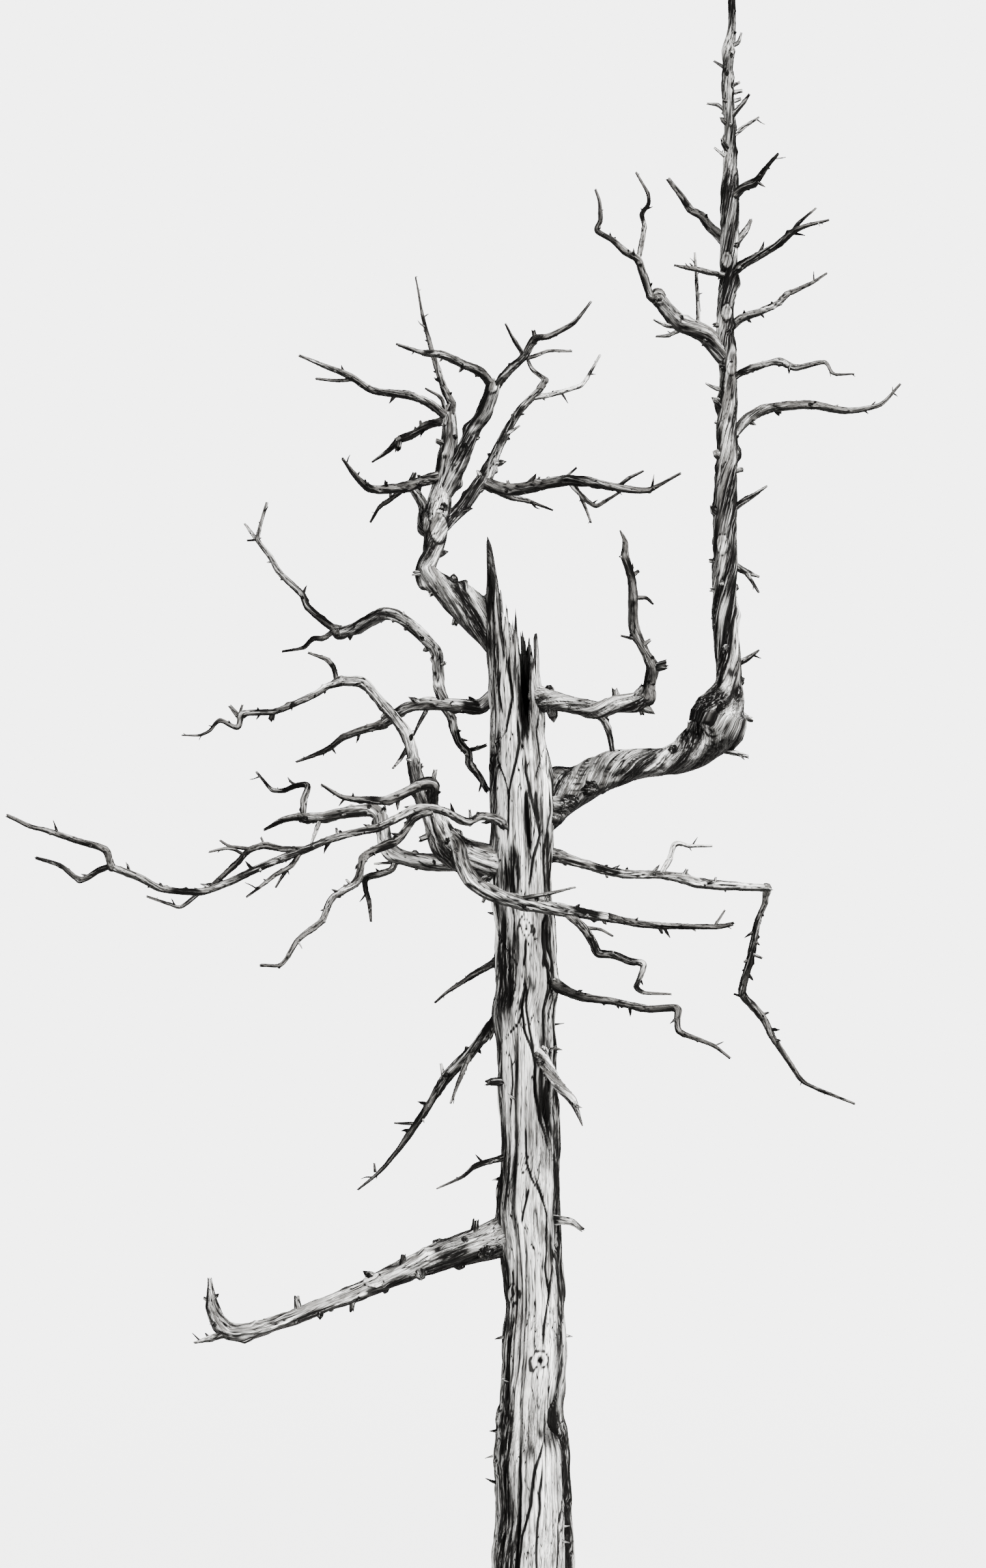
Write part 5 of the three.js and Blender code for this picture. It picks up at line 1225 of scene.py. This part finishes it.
def wavered(place, girth, run, number):
    """Places that stray a little from the course, but not at its root."""
    widest = float(girth.max())
    strays = [noise(run / (widest * WAVER.length), np.full(run.shape, number + axis * WAVER.apart), 0.5,
                    WAVER.seed) for axis in range(3)]
    wobble = WAVER.share * girth[:, None] * np.stack(strays, 1)
    return place + wobble * unit(run / (widest * WAVER.from_root))[:, None]


def swollen(girth, run, corners):
    """Girths that swell where a strand turns sharply."""
    return girth * (1 + sum(min(turn, ELBOW.full) / ELBOW.full * ELBOW.swell
                            * bell(run - corner, interp(corner, run, girth) * ELBOW.width)
                            for corner, turn in corners))


def frames_along(place):
    """The way that a course goes at each place, and two directions square to it."""
    tangent = np.gradient(place, axis=0)
    tangent /= norm(tangent, axis=1)[:, None]
    side = array(FIRST_SIDE)
    sides = []
    for way in tangent:
        side = side - way * side.dot(way)
        side = side / norm(side)
        sides.append(side)
    sides = array(sides)
    return tangent, sides, np.cross(tangent, sides)


def scar_shares(skin, ring, across, height, wide, high):
    """How far each place is inside a scar seen from the front, and its distance from the middle."""
    nearer = VIEW["away"] / (VIEW["away"] + skin[..., 1])
    x, z = (VIEW[key] + (skin[..., axis] - VIEW[key]) * nearer for key, axis in (("x", 0), ("z", 2)))
    rim = np.where(ring[..., 1] < 0, hypot((x - across) / wide, (z - height) / high), SCAR.away)
    return unit((SCAR.rim - rim) * SCAR.sharp), rim


def columns_for(girth):
    return next((columns for least, columns in COLUMNS if girth > least), LEAST_COLUMNS)


def limb_stain_and_shade(ring, grain, gloom, flare, widest):
    """How dark a limb's skin is: blotches, painted shade on the left and right sides and along the top, and
    painted shade at the roots.
    """
    along = BLOTCH.along + BLOTCH.slim_along / widest
    across = BLOTCH.across
    blotch = noise(grain[..., 0] * across, grain[..., 1] * across, grain[..., 2] * along, BLOTCH.seed)

    def facing(way, rule):
        return unit((way - rule.start) / rule.over) * unit(rule.full + rule.blotch * blotch)

    # Painted shade on the left sides.
    left_shade = facing(-ring[..., 0], LEFT_SHADE)
    blotch = blotch + gloom[:, None] - BLOTCH.flare * flare[:, None]
    under = ROOT_SHADE.full - ROOT_SHADE.under * ring[..., 2] + ROOT_SHADE.blotch * blotch
    shade = ROOT_SHADE.share * flare[:, None] * unit(under)
    blotches = np.clip(BLOTCH.strength * blotch, 0, BLOTCH.most)
    # Painted shade on the right sides and along the tops.
    right_shade, top_shade = facing(ring[..., 0], RIGHT_SHADE), facing(ring[..., 2], TOP_SHADE)
    return np.max([blotches, left_shade, right_shade, top_shade, shade], axis=0)


def rooted(shape, way, run, girth, bearing, open_top):
    """Slides a limb's first rings along it, so that it starts inside the trunk's own wood."""
    outward = array((math.cos(math.radians(bearing)), math.sin(math.radians(bearing)), 0))
    heights = shape[0, :, 2]
    skin = half_width(heights) * fluted(np.full(heights.shape, bearing), heights)
    skin = skin - ROOT.under_skin if open_top else skin * ROOT.share
    start = shape[0] - np.stack([middle_of(heights), 0 * heights, heights], 1)
    level = np.cross(outward, (0, 0, 1))
    beside = start @ level
    push = np.clip(beside, -ROOT.sideways * skin, ROOT.sideways * skin) - beside
    beside = beside + push
    reach = np.sqrt(maximum(skin ** 2 - beside ** 2, (ROOT.least * skin) ** 2))
    slide = (reach - start @ outward) / max(float(way @ outward), ROOT.least)
    length = max(*(ROOT.fade * float(np.abs(shift).max()) for shift in (slide, push)),
                 ROOT.girths * float(girth))
    share = unit(run / length)
    fade = (1 - share) ** 2 * (1 + 2 * share)
    return shape + fade[:, None, None] * (slide[:, None] * way + push[:, None] * level)


def weathering(theta, phi, run, wide, number):
    """Share of its girth by which the wood stands proud, and how deep in a crack it is."""
    def layer(name, angle, **shift):
        """Noise that runs by the wood's own girths, so that its lumps shrink as it tapers."""
        across, least, length, seed = LIMB_NOISE[name]
        steps = np.diff(run, axis=0) / maximum(wide[1:], least)
        passed = concatenate([[[0.0]], np.cumsum(steps, axis=0)])
        return ring_noise(angle, across, passed / length, seed, **shift)

    lumps = layer("lumps", theta, x_shift=number)
    ropes = layer("ropes", phi, x_shift=number)
    lines = layer("lines", phi, x_shift=number)
    burls = layer("burls", theta, y_shift=number)
    rags = layer("rags", theta, y_shift=number)
    groove = bell(lines, LUMPS.groove_width)
    stood = (LUMPS.lumps * lumps + LUMPS.ropes * ropes - LUMPS.groove * groove
             + LUMPS.burls * maximum(burls - LUMPS.burl_from, 0) + LUMPS.rags * rags)
    return stood, LUMPS.groove_dark * groove


def knotted(stood, hollow, theta, phi, run, wide, draw, widest):
    """Seeded knots and bumps, from the root to the tip."""
    spot = widest * spread(draw, *SPOTS.first)
    end = float(run[-1, 0])
    while spot < end - widest:
        girth = float(interp(spot, run[:, 0], wide[:, 0]))
        turn, size, kind = 2 * math.pi * draw(), spread(draw, *SPOTS.size), draw()
        round_gap = (theta - turn + math.pi) % (2 * math.pi) - math.pi
        along = run / (girth * SPOTS.step)
        rough = ring_noise(phi, SPOTS.across, along, SPOTS.seed, x_shift=spot * SPOTS.shift)
        ragged = 1 + SPOTS.ragged * rough
        tall = SPOTS.tall[0 if kind < SPOTS.round else 1]
        gap = hypot(round_gap, (run - spot) / girth * tall) / size * ragged
        if kind < SPOTS.knots:
            ring, eye = bell(gap - LIMB_KNOT.ring_at, LIMB_KNOT.width), bell(gap, LIMB_KNOT.width)
            stood = stood + LIMB_KNOT.ring * ring - LIMB_KNOT.eye * eye
            deep = LIMB_KNOT.dark * bell(gap, LIMB_KNOT.dark_width)
            hollow = maximum(hollow, deep * unit(LIMB_KNOT.least + ragged - 1))
        else:
            stood = stood + spread(draw, *SPOTS.bump) * bell(gap, SPOTS.bump_width)
        spot += max(girth * spread(draw, *SPOTS.girths), spread(draw, *SPOTS.metres))
    return stood, unit(hollow)


def scarred(stood, hollow, stain_and_shade, skin, ring, scars):
    """Smooths and bleaches the wood inside each scar, and raises a lip round it."""
    for scar in scars:
        face, rim = scar_shares(skin, ring, *metres(scar))
        stood = stood * (1 - face) + SCAR.lip * bell(rim - 1, SCAR.lip_width)
        hollow = maximum(hollow * (1 - face), crack_round(rim, SCAR))
        stain_and_shade = stain_and_shade * (1 - face)
    return stood, hollow, stain_and_shade


class Growth:
    """Grids that are bent round the limbs' courses and joined into one mesh."""

    def __init__(self):
        self.bm = bmesh.new()
        self.parts = []

    def add(self, place, grain, ridge, hollow, stain_and_shade):
        rows, columns = ridge.shape
        bmesh.ops.create_grid(self.bm, x_segments=columns - 1, y_segments=rows - 1, size=1)
        self.parts.append((place.reshape(-1, 3), grain.reshape(-1, 3), ridge.ravel(), hollow.ravel(),
                           stain_and_shade.ravel()))

    def tube(self, found, seed, twist, broken=False, fine=True, scars=(), gloom=0.0):
        """A tapering limb round its course, with grain, lumps, knots and a closed end."""
        place, girth, run, corners = eased_run(found["at"], found["girth"])
        number, draw, widest = seed_number(seed), seeded_draws(seed), float(girth.max())
        place, girth = wavered(place, girth, run, number), swollen(girth, run, corners)
        turn, gloom, flare = twist * run, gloom + 0 * run, 0 * run
        if "turn" in found:
            bends = concatenate([[0], np.cumsum(norm(np.diff(found["at"], axis=0), axis=1))])
            turn, gloom = (interp(run, bends, found[key]) for key in ("turn", "gloom"))
        sprung = found.get("sprung")
        if sprung:
            first, bearing = trunk_exit(place)
            open_top = place[first, 2] > HOLLOW.floor + FLARE.over_rim
            flare = bell(run - run[first], FLARE.width * girth[first])
            girth = girth * (1 + (0 if open_top else FLARE.swell) * flare)
            if open_top:
                cut = max(first - 1, 0)
                place, girth, turn, gloom, flare = (rows[cut:] for rows in (place, girth, turn, gloom, flare))
                run = run[cut:] - run[cut]
        tangent, sides, across = frames_along(place)
        columns = columns_for(widest) if fine else LEAST_COLUMNS
        theta = linspace(0, 2 * math.pi, columns + 1)[None, :]
        run2, wide, phi = run[:, None], girth[:, None], theta + turn[:, None]
        stood, hollow = weathering(theta, phi, run2, wide, number)
        if widest < SLIM_LIMB.under:
            stood = stood * SLIM_LIMB.relief
        if widest < SLIM_LIMB.crack_under:
            hollow = hollow * SLIM_LIMB.cracks
        stood, hollow = knotted(stood, hollow, theta, phi, run2, wide, draw, widest)
        if sprung:
            stood *= np.clip(run2 / (FLARE.run * widest), FLARE.least, 1)
        grain = np.stack([wide * cos(phi) + number, wide * sin(phi) + number, run2 + 0 * phi], -1)
        ring = cos(theta)[..., None] * sides[:, None] + sin(theta)[..., None] * across[:, None]
        skin = place[:, None] + wide[..., None] * ring
        stain_and_shade = limb_stain_and_shade(ring, grain, gloom, flare, widest)
        stood, hollow, stain_and_shade = scarred(stood, hollow, stain_and_shade, skin, ring, scars)
        shape = place[:, None] + (wide * (1 + stood))[..., None] * ring
        if sprung:
            shape = rooted(shape, tangent[0], run, girth[0], bearing, open_top)
        start, tip, blunt = shape[0].mean(axis=0), place[-1], girth[-1] >= BREAK.least
        if blunt and (broken or not found.get("goes_on")):
            rough = np.abs(ring_noise(theta, BREAK.across, number + BREAK.along, BREAK.seed))
            shape[-1] += tangent[-1] * (girth[-1] * (BREAK.short + BREAK.spikes * rough)).T
            tip = tip - tangent[-1] * girth[-1] * BREAK.sunk
        start, tip = (np.broadcast_to(end, (1, columns + 1, 3)) for end in (start, tip))
        end_dark = np.full((1, columns + 1), BREAK.dark if blunt else BREAK.tip_dark)
        ridge = concatenate([stood[:1], stood, stood[-1:]]) / RIDGE.share
        ridge = ridge * min(1, RIDGE.least + widest * RIDGE.girth)
        grain, stain_and_shade = (concatenate([rows[:1], rows, rows[-1:]]) for rows in (grain, stain_and_shade))
        hollow = concatenate([hollow[:1], hollow, end_dark])
        self.add(concatenate([start, shape, tip]), grain, ridge, hollow, stain_and_shade)

    def make(self, name):
        """The joined mesh, its seams welded and its faces turned outwards."""
        mesh = bpy.data.meshes.new(name)
        self.bm.to_mesh(mesh)
        self.bm.free()
        place, grain, *tones = (concatenate(values).astype(np.float32) for values in zip(*self.parts))
        mesh.vertices.foreach_set("co", place.ravel())
        mesh.attributes.new("grain", "FLOAT_VECTOR", "POINT").data.foreach_set("vector", grain.ravel())
        for tone, values in zip(("ridge", "hollow", "stain_and_shade"), tones):
            mesh.attributes.new(tone, "FLOAT", "POINT").data.foreach_set("value", values)
        welded = bmesh.new()
        welded.from_mesh(mesh)
        bmesh.ops.remove_doubles(welded, verts=welded.verts, dist=WELD)
        bmesh.ops.recalc_face_normals(welded, faces=welded.faces)
        for face in welded.faces:
            face.smooth = True
        welded.to_mesh(mesh)
        welded.free()
        piece = bpy.data.objects.new(name, mesh)
        bpy.context.scene.collection.objects.link(piece)
        return piece


def grow_piece(name, settings, courses, around):
    growth = Growth()
    for limb_name in PIECES[name]:
        for index, found in enumerate(courses[limb_name]):
            found = found.get("whole", found)
            if not found:
                continue
            wound = settings.twist * (1 if len(limb_name) % 2 else -1)
            wound = wound * min(WOUND.girth / found["girth"].max(), WOUND.most)
            parts = LEADER_PARTS if "turn" in found else [limb_name]
            growth.tube(found, "%s %d" % (limb_name, index), TWISTS.get(limb_name, wound),
                        scars=[scar for part in parts for scar in SCARS.get(part, ())],
                        gloom=GLOOM.get(limb_name, 0.0))
        for index, found in enumerate(knob_courses(limb_name, courses)):
            growth.tube(found, "%s knob %d" % (limb_name, index), SMALL_TWIST, broken=True)
        spurs = [spur for rule in (SPURS, NUBS) for spur in spur_courses(limb_name, courses, around, rule)]
        for index, found in enumerate(spurs):
            growth.tube(found, "%s spur %d" % (limb_name, index), SMALL_TWIST, fine=False, gloom=SPUR_GLOOM)
    return growth.make(name)


# Shader nodes

class Value:
    """One output of a shader node. Maths on it adds Math nodes."""

    def __init__(self, net, socket):
        self.net, self.socket = net, socket

    def maths(self, operation, *others):
        return self.net.node("Math", {"operation": operation}, dict(enumerate((self, *others))))

    __add__ = __radd__ = partialmethod(maths, "ADD")
    __sub__ = partialmethod(maths, "SUBTRACT")
    __mul__ = __rmul__ = partialmethod(maths, "MULTIPLY")
    __abs__ = partialmethod(maths, "ABSOLUTE")
    above = partialmethod(maths, "MAXIMUM")

    def __rsub__(self, other):
        return self.net.node("Math", {"operation": "SUBTRACT"}, {0: other, 1: self})

    def ramp(self, low, high):
        """0 at low, 1 at high, and smooth between."""
        return self.net.node("MapRange", {"interpolation_type": "SMOOTHSTEP"},
                             {"Value": self, "From Min": low, "From Max": high})


def opaque(colour):
    return colour if isinstance(colour, Value) else (*colour, 1.0)


class Net:
    """The nodes of a material or of the world."""

    def __init__(self, owner):
        owner.use_nodes = True
        self.tree = owner.node_tree
        self.tree.nodes.clear()

    def node(self, kind, settings=None, values=None, out=0):
        made = self.tree.nodes.new("ShaderNode" + kind)
        for name, value in (settings or {}).items():
            setattr(made, name, value)
        for key, value in (values or {}).items():
            if isinstance(value, Value):
                self.tree.links.new(value.socket, made.inputs[key])
            else:
                made.inputs[key].default_value = value
        return Value(self, made.outputs[out]) if made.outputs else made

    def own(self, name, out="Fac"):
        return self.node("Attribute", {"attribute_name": name}, out=out)

    def noise(self, place, scale, detail, roughness):
        return self.node("TexNoise", {}, {"Vector": place, "Scale": scale, "Detail": detail,
                                          "Roughness": roughness, "Distortion": 0.0})

    def fibres(self, place, across, along, detail, roughness=0.6):
        """Noise drawn out along the grain, with so many repeats in a metre."""
        spun = self.node("VectorMath", {"operation": "MULTIPLY"}, {0: place, 1: (across, across, along)})
        return self.noise(spun, 1.0, detail, roughness)

    def lines(self, place, across, along, width, detail):
        """Thin wandering lines along the grain."""
        wave = self.fibres(place, across, along, detail, roughness=0.55)
        return 1 - abs(wave - 0.5).ramp(0.0, width)

    def blend(self, share, first, second, kind="MIX"):
        return self.node("Mix", {"data_type": "RGBA", "blend_type": kind},
                         {0: share, 6: opaque(first), 7: opaque(second)}, out=2)


# How coarse the grain is, how dark the painted shade on the undersides is, and how much darker the whole is.
TONES = {"trunk_wood": {"coarse": 1.0, "shade": 0.4, "dark": 0.0},
         "bough_wood": {"coarse": 1.4, "shade": 0.95, "dark": 0.055},
         "twig_wood": {"coarse": 1.3, "shade": 0.95, "dark": 0.12}}
# Where each tone of the wood and of the painted shade begins and is full.
RAMPS = Sizes(pale=(0.38, 0.55), worn=(0.50, 0.72), under=(-0.55, 0.12), low=(-0.9, 0.25), hatch=(0.42, 0.60),
              soaked=(0.0, 0.85), dry_fibres=(0.50, 0.74), hairs=(0.35, 0.62), scratches=(0.36, 0.62),
              cracks=(0.32, 0.50), strokes=(0.0, 0.95), sunk=(0.10, 0.70))
# How much of each tone there is.
SHARES = Sizes(broad=0.45, fibres=0.35, fine=0.2, worn=0.5, low=0.75, dry_fibres=0.45, hairs=0.65,
               scratches=0.5, in_shade=0.6, hatch=0.85, sunk=0.98)
# Height of each layer in the bump.
BUMP = Sizes(broad=0.5, fibres=0.5, fine=0.22, cracks=1.2, hairs=0.5, scratches=0.25, strength=0.85,
             distance=0.007)
ROUGH = Sizes(least=0.80, fibres=0.14)
SHINE = 0.02


def dead_wood(name, looks, coarse, shade, dark):
    """Bare wood that has weathered: pale fibres, dark cracks along the grain, and painted shade on the
    undersides and in low places.
    """
    material = bpy.data.materials.new(name)
    net = Net(material)
    grain = net.own("grain", "Vector")
    # The stain attribute holds dark stains together with painted shade; a low ridge and parts of the hollow
    # value add painted shade too.
    ridge, hollow, stain_and_shade = (net.own(tone) for tone in ("ridge", "hollow", "stain_and_shade"))
    facing = net.node("SeparateXYZ", {}, {0: net.node("NewGeometry", {}, out="Normal")}, out="Z")
    broad = net.fibres(grain, across=14 * coarse, along=1.6, detail=3.0)
    fibres = net.fibres(grain, across=75 * coarse, along=4.0, detail=3.0)
    fine = net.fibres(grain, across=260, along=12.0, detail=2.0)
    patches = net.noise(net.node("TexCoord", {}, out="Object"), scale=2.3, detail=3.0, roughness=0.55)
    cracks = net.lines(grain, across=26 * coarse, along=1.7, width=0.026 * coarse, detail=2.5)
    hairs = net.lines(grain, across=85 * coarse, along=4.5, width=0.046, detail=2.0)
    scratches = net.lines(grain, across=210, along=9.0, width=0.065, detail=1.0)
    tone = broad * SHARES.broad + fibres * SHARES.fibres + fine * SHARES.fine
    pale = tone.ramp(*(value + dark for value in RAMPS.pale))
    colour = net.blend(pale, looks.grey_wood, looks.pale_wood)
    colour = net.blend(patches.ramp(*RAMPS.worn) * SHARES.worn, colour, looks.worn_wood)
    # Painted shade on the undersides, by which way the surface faces.
    under = (1 - facing.ramp(*RAMPS.under)) * shade
    # Painted shade in the low places of the relief.
    low = (1 - ridge.ramp(*RAMPS.low)) * SHARES.low
    # Dark strokes along the grain inside the stains and the painted shade.
    hatch = (1 - fibres.ramp(*RAMPS.hatch)) * stain_and_shade
    # Stains and painted shade darkened, with pale fibres showing through.
    soaked = stain_and_shade.ramp(*RAMPS.soaked) * (1 - fibres.ramp(*RAMPS.dry_fibres) * SHARES.dry_fibres)
    # All the painted shade and the stains, multiplied in with the shaded wood tint.
    dim = under.above(low).above(soaked)
    colour = net.blend(dim, colour, looks.shaded_wood, "MULTIPLY")
    hair_share = fibres.ramp(*RAMPS.hairs) * SHARES.hairs + dim * SHARES.in_shade
    scratch_share = patches.ramp(*RAMPS.scratches) * SHARES.scratches + dim * SHARES.in_shade
    strokes = (hairs * hair_share).above(scratches * scratch_share)
    strokes = strokes.above(cracks * broad.ramp(*RAMPS.cracks)).above(hatch * SHARES.hatch)
    # Dark cracks, knots and broken ends, with the painted shade inside the hollows.
    sunk = hollow.ramp(*RAMPS.sunk) * SHARES.sunk
    colour = net.blend(strokes.ramp(*RAMPS.strokes).above(sunk), colour, looks.crack)
    height = (broad * BUMP.broad + fibres * BUMP.fibres + fine * BUMP.fine - cracks * BUMP.cracks
              - hairs * BUMP.hairs - scratches * BUMP.scratches)
    bump = net.node("Bump", {}, {"Strength": BUMP.strength, "Distance": BUMP.distance * coarse ** -0.5,
                                 "Height": height})
    rough = ROUGH.least + fibres * ROUGH.fibres
    shader = net.node("BsdfPrincipled", {}, {"Base Color": colour, "Roughness": rough, "Normal": bump,
                                             "Specular IOR Level": SHINE})
    net.node("OutputMaterial", {}, {"Surface": shader})
    return material


# What a user may change

def count(name, description, default, least):
    return bpy.props.IntProperty(name=name, description=description, default=default, min=least)


def amount(name, description, default, **limits):
    return bpy.props.FloatProperty(name=name, description=description, default=default, **limits)


def tint(name, description, default):
    return bpy.props.FloatVectorProperty(name=name, description=description, subtype="COLOR",
                                         default=default, min=0, max=1)


class TrunkSettings(bpy.types.PropertyGroup):
    columns: count("Columns", "Faces round the trunk", 200, 32)
    rows: count("Rows", "Rings up to the splintered top", 318, 40)
    top_rows: count("Top rows", "Rings in the splintered top", 120, 10)
    relief: amount("Relief", "Strength of the wood's relief", 1.0, min=0.0, max=2.0)
    crack_depth: amount("Crack depth", "Share of the full depth of the cracks", 1.0, min=0.0, max=2.0)
    nubs: count("Nubs", "Short broken points round the trunk", 18, 0)
    back_cracks: count("Back cracks", "Long cracks on the sides and the back", 46, 0)


class LimbSettings(bpy.types.PropertyGroup):
    twist: amount("Twist", "Turn of the grain in each metre of a thick limb", 1.6, subtype="ANGLE")


class WoodLooks(bpy.types.PropertyGroup):
    pale_wood: tint("Pale wood", "Bleached fibres", (0.80, 0.79, 0.765))
    grey_wood: tint("Grey wood", "Weathered fibres", (0.075, 0.072, 0.068))
    worn_wood: tint("Worn wood", "Patches that the weather wore", (0.17, 0.165, 0.155))
    # The shaded wood tint is multiplied in over the painted shade and over the dark stains.
    shaded_wood: tint("Shaded wood", "Tint of low and under sides", (0.012, 0.0115, 0.011))
    crack: tint("Crack", "Inside of cracks and hollows", (0.002, 0.0019, 0.0018))


class StageSettings(bpy.types.PropertyGroup):
    floor_size: amount("Floor size", "Radius of the floor", 160.0, unit="LENGTH")
    floor: tint("Floor", "Tone of the floor near the tree", (0.80, 0.80, 0.79))
    backdrop: tint("Backdrop", "Pale tone behind the tree", (0.93, 0.93, 0.925))
    glow: amount("Glow", "Brightness behind the tree", 5.6, min=0)
    sky: amount("Sky", "Brightness above the tree", 1.2, min=0)
    sun: amount("Sun", "Strength of the sun", 19.0, min=0)


# Operators and the panel

def dress(piece, slot, nodes, looks):
    piece.data.materials.append(dead_wood(slot + "_" + piece.name, looks, **TONES[slot]))
    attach(piece, "root")
    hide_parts(*nodes)


class MakeTrunk(bpy.types.Operator):
    """Grow the trunk with its root flare, cracks, knots and hollow, splintered top."""
    bl_idname = "dead_tree.trunk"
    bl_label = "Trunk"

    def execute(self, context):
        piece = grow_trunk(context.scene.dead_tree_trunk, all_courses()).make("weathered_trunk")
        dress(piece, "trunk_wood", ["trunk"], context.scene.dead_tree_looks)
        return {"FINISHED"}


def grow_limbs(context, kind, slot):
    courses = all_courses()
    around = Surroundings(courses)
    for name in PIECES:
        if name.endswith(kind):
            piece = grow_piece(name, context.scene.dead_tree_limbs, courses, around)
            dress(piece, slot, PIECES[name], context.scene.dead_tree_looks)
    return {"FINISHED"}


class MakeBoughs(bpy.types.Operator):
    """Grow the boughs with their twisted grain, knots and broken ends."""
    bl_idname = "dead_tree.boughs"
    bl_label = "Boughs"

    def execute(self, context):
        return grow_limbs(context, "boughs", "bough_wood")


class MakeTwigs(bpy.types.Operator):
    """Grow the twigs with their crooks, spurs and nubs."""
    bl_idname = "dead_tree.twigs"
    bl_label = "Twigs"

    def execute(self, context):
        return grow_limbs(context, "twigs", "twig_wood")


class MakeStage(bpy.types.Operator):
    """Set the pale floor, the light and the camera."""
    bl_idname = "dead_tree.stage"
    bl_label = "Stage"

    def execute(self, context):
        stage = context.scene.dead_tree_stage
        make_floor(stage)
        make_light(stage)
        make_camera()
        return {"FINISHED"}


# Faces round the floor, and where it starts and ends to melt into the backdrop, in metres.
FLOOR = Sizes(faces=128, melts=(5.0, 22.0))
# Height in the sky at which the backdrop gives way to the dimmer sky.
SKY_FROM = (0.20, 0.42)
SUN = Sizes(turn=(42, 0, 48), spread=7)
CAMERA = Sizes(at=(-0.26, -28.0, 5.981), turn=(90, 0, 0), sensor=36.0, lens=104.65, far=1000.0)


def placed(name, data):
    made = bpy.data.objects.new(name, data)
    bpy.context.scene.collection.objects.link(made)
    return made


def angles(degrees):
    return [math.radians(value) for value in degrees]


def make_floor(stage):
    bm = bmesh.new()
    bmesh.ops.create_circle(bm, cap_ends=True, radius=stage.floor_size, segments=FLOOR.faces)
    mesh = bpy.data.meshes.new("floor")
    bm.to_mesh(mesh)
    bm.free()
    material = bpy.data.materials.new("pale_floor")
    net = Net(material)
    place = net.node("TexCoord", {}, out="Object")
    away = net.node("VectorMath", {"operation": "LENGTH"}, {0: place}, out="Value")
    matt = net.node("BsdfDiffuse", {}, {"Color": opaque(stage.floor)})
    glow = net.node("Emission", {}, {"Color": opaque(stage.backdrop), "Strength": stage.glow})
    mixed = net.node("MixShader", {}, {0: away.ramp(*FLOOR.melts), 1: matt, 2: glow})
    net.node("OutputMaterial", {}, {"Surface": mixed})
    mesh.materials.append(material)
    floor = placed("floor", mesh)


def make_light(stage):
    world = bpy.data.worlds.new("pale_room")
    bpy.context.scene.world = world
    net = Net(world)
    up = abs(net.node("SeparateXYZ", {}, {0: net.node("TexCoord", {}, out="Generated")}, out="Z"))
    band, above = (net.node("Background", {}, {"Color": opaque(stage.backdrop), "Strength": strength})
                   for strength in (stage.glow, stage.sky))
    mixed = net.node("MixShader", {}, {0: up.ramp(*SKY_FROM), 1: band, 2: above})
    net.node("OutputWorld", {}, {"Surface": mixed})
    lamp = bpy.data.lights.new("key", "SUN")
    lamp.energy, lamp.angle = stage.sun, math.radians(SUN.spread)
    placed("key", lamp).rotation_euler = angles(SUN.turn)


def make_camera():
    """Level and in front of the tree."""
    camera = placed("camera", bpy.data.cameras.new("camera"))
    camera.location = CAMERA.at
    camera.rotation_euler = angles(CAMERA.turn)
    camera.data.sensor_width = CAMERA.sensor
    camera.data.lens = CAMERA.lens
    camera.data.clip_end = CAMERA.far
    bpy.context.scene.camera = camera


class TreePanel(bpy.types.Panel):
    """Lists what the tree is made with."""
    bl_idname = "VIEW3D_PT_dead_tree"
    bl_label = "Dead tree"
    bl_space_type = "VIEW_3D"
    bl_region_type = "UI"
    bl_category = "Dead tree"

    def draw(self, context):
        for group in SETTINGS:
            box = self.layout.box()
            settings = getattr(context.scene, group)
            for name in settings.__annotations__:
                box.prop(settings, name)
        for maker in MAKERS:
            self.layout.operator(maker.bl_idname)


SETTINGS = {"dead_tree_trunk": TrunkSettings, "dead_tree_limbs": LimbSettings, "dead_tree_looks": WoodLooks,
            "dead_tree_stage": StageSettings}
MAKERS = (MakeTrunk, MakeBoughs, MakeTwigs, MakeStage)
CLASSES = (*SETTINGS.values(), *MAKERS, TreePanel)


def register():
    for made in CLASSES:
        bpy.utils.register_class(made)
    for name, kind in SETTINGS.items():
        setattr(bpy.types.Scene, name, bpy.props.PointerProperty(type=kind))


def unregister():
    for name in SETTINGS:
        delattr(bpy.types.Scene, name)
    for made in reversed(CLASSES):
        bpy.utils.unregister_class(made)


def main():
    register()
    bpy.ops.dead_tree.trunk()
    bpy.ops.dead_tree.boughs()
    bpy.ops.dead_tree.twigs()
    bpy.ops.dead_tree.stage()


if __name__ == "__main__":
    main()
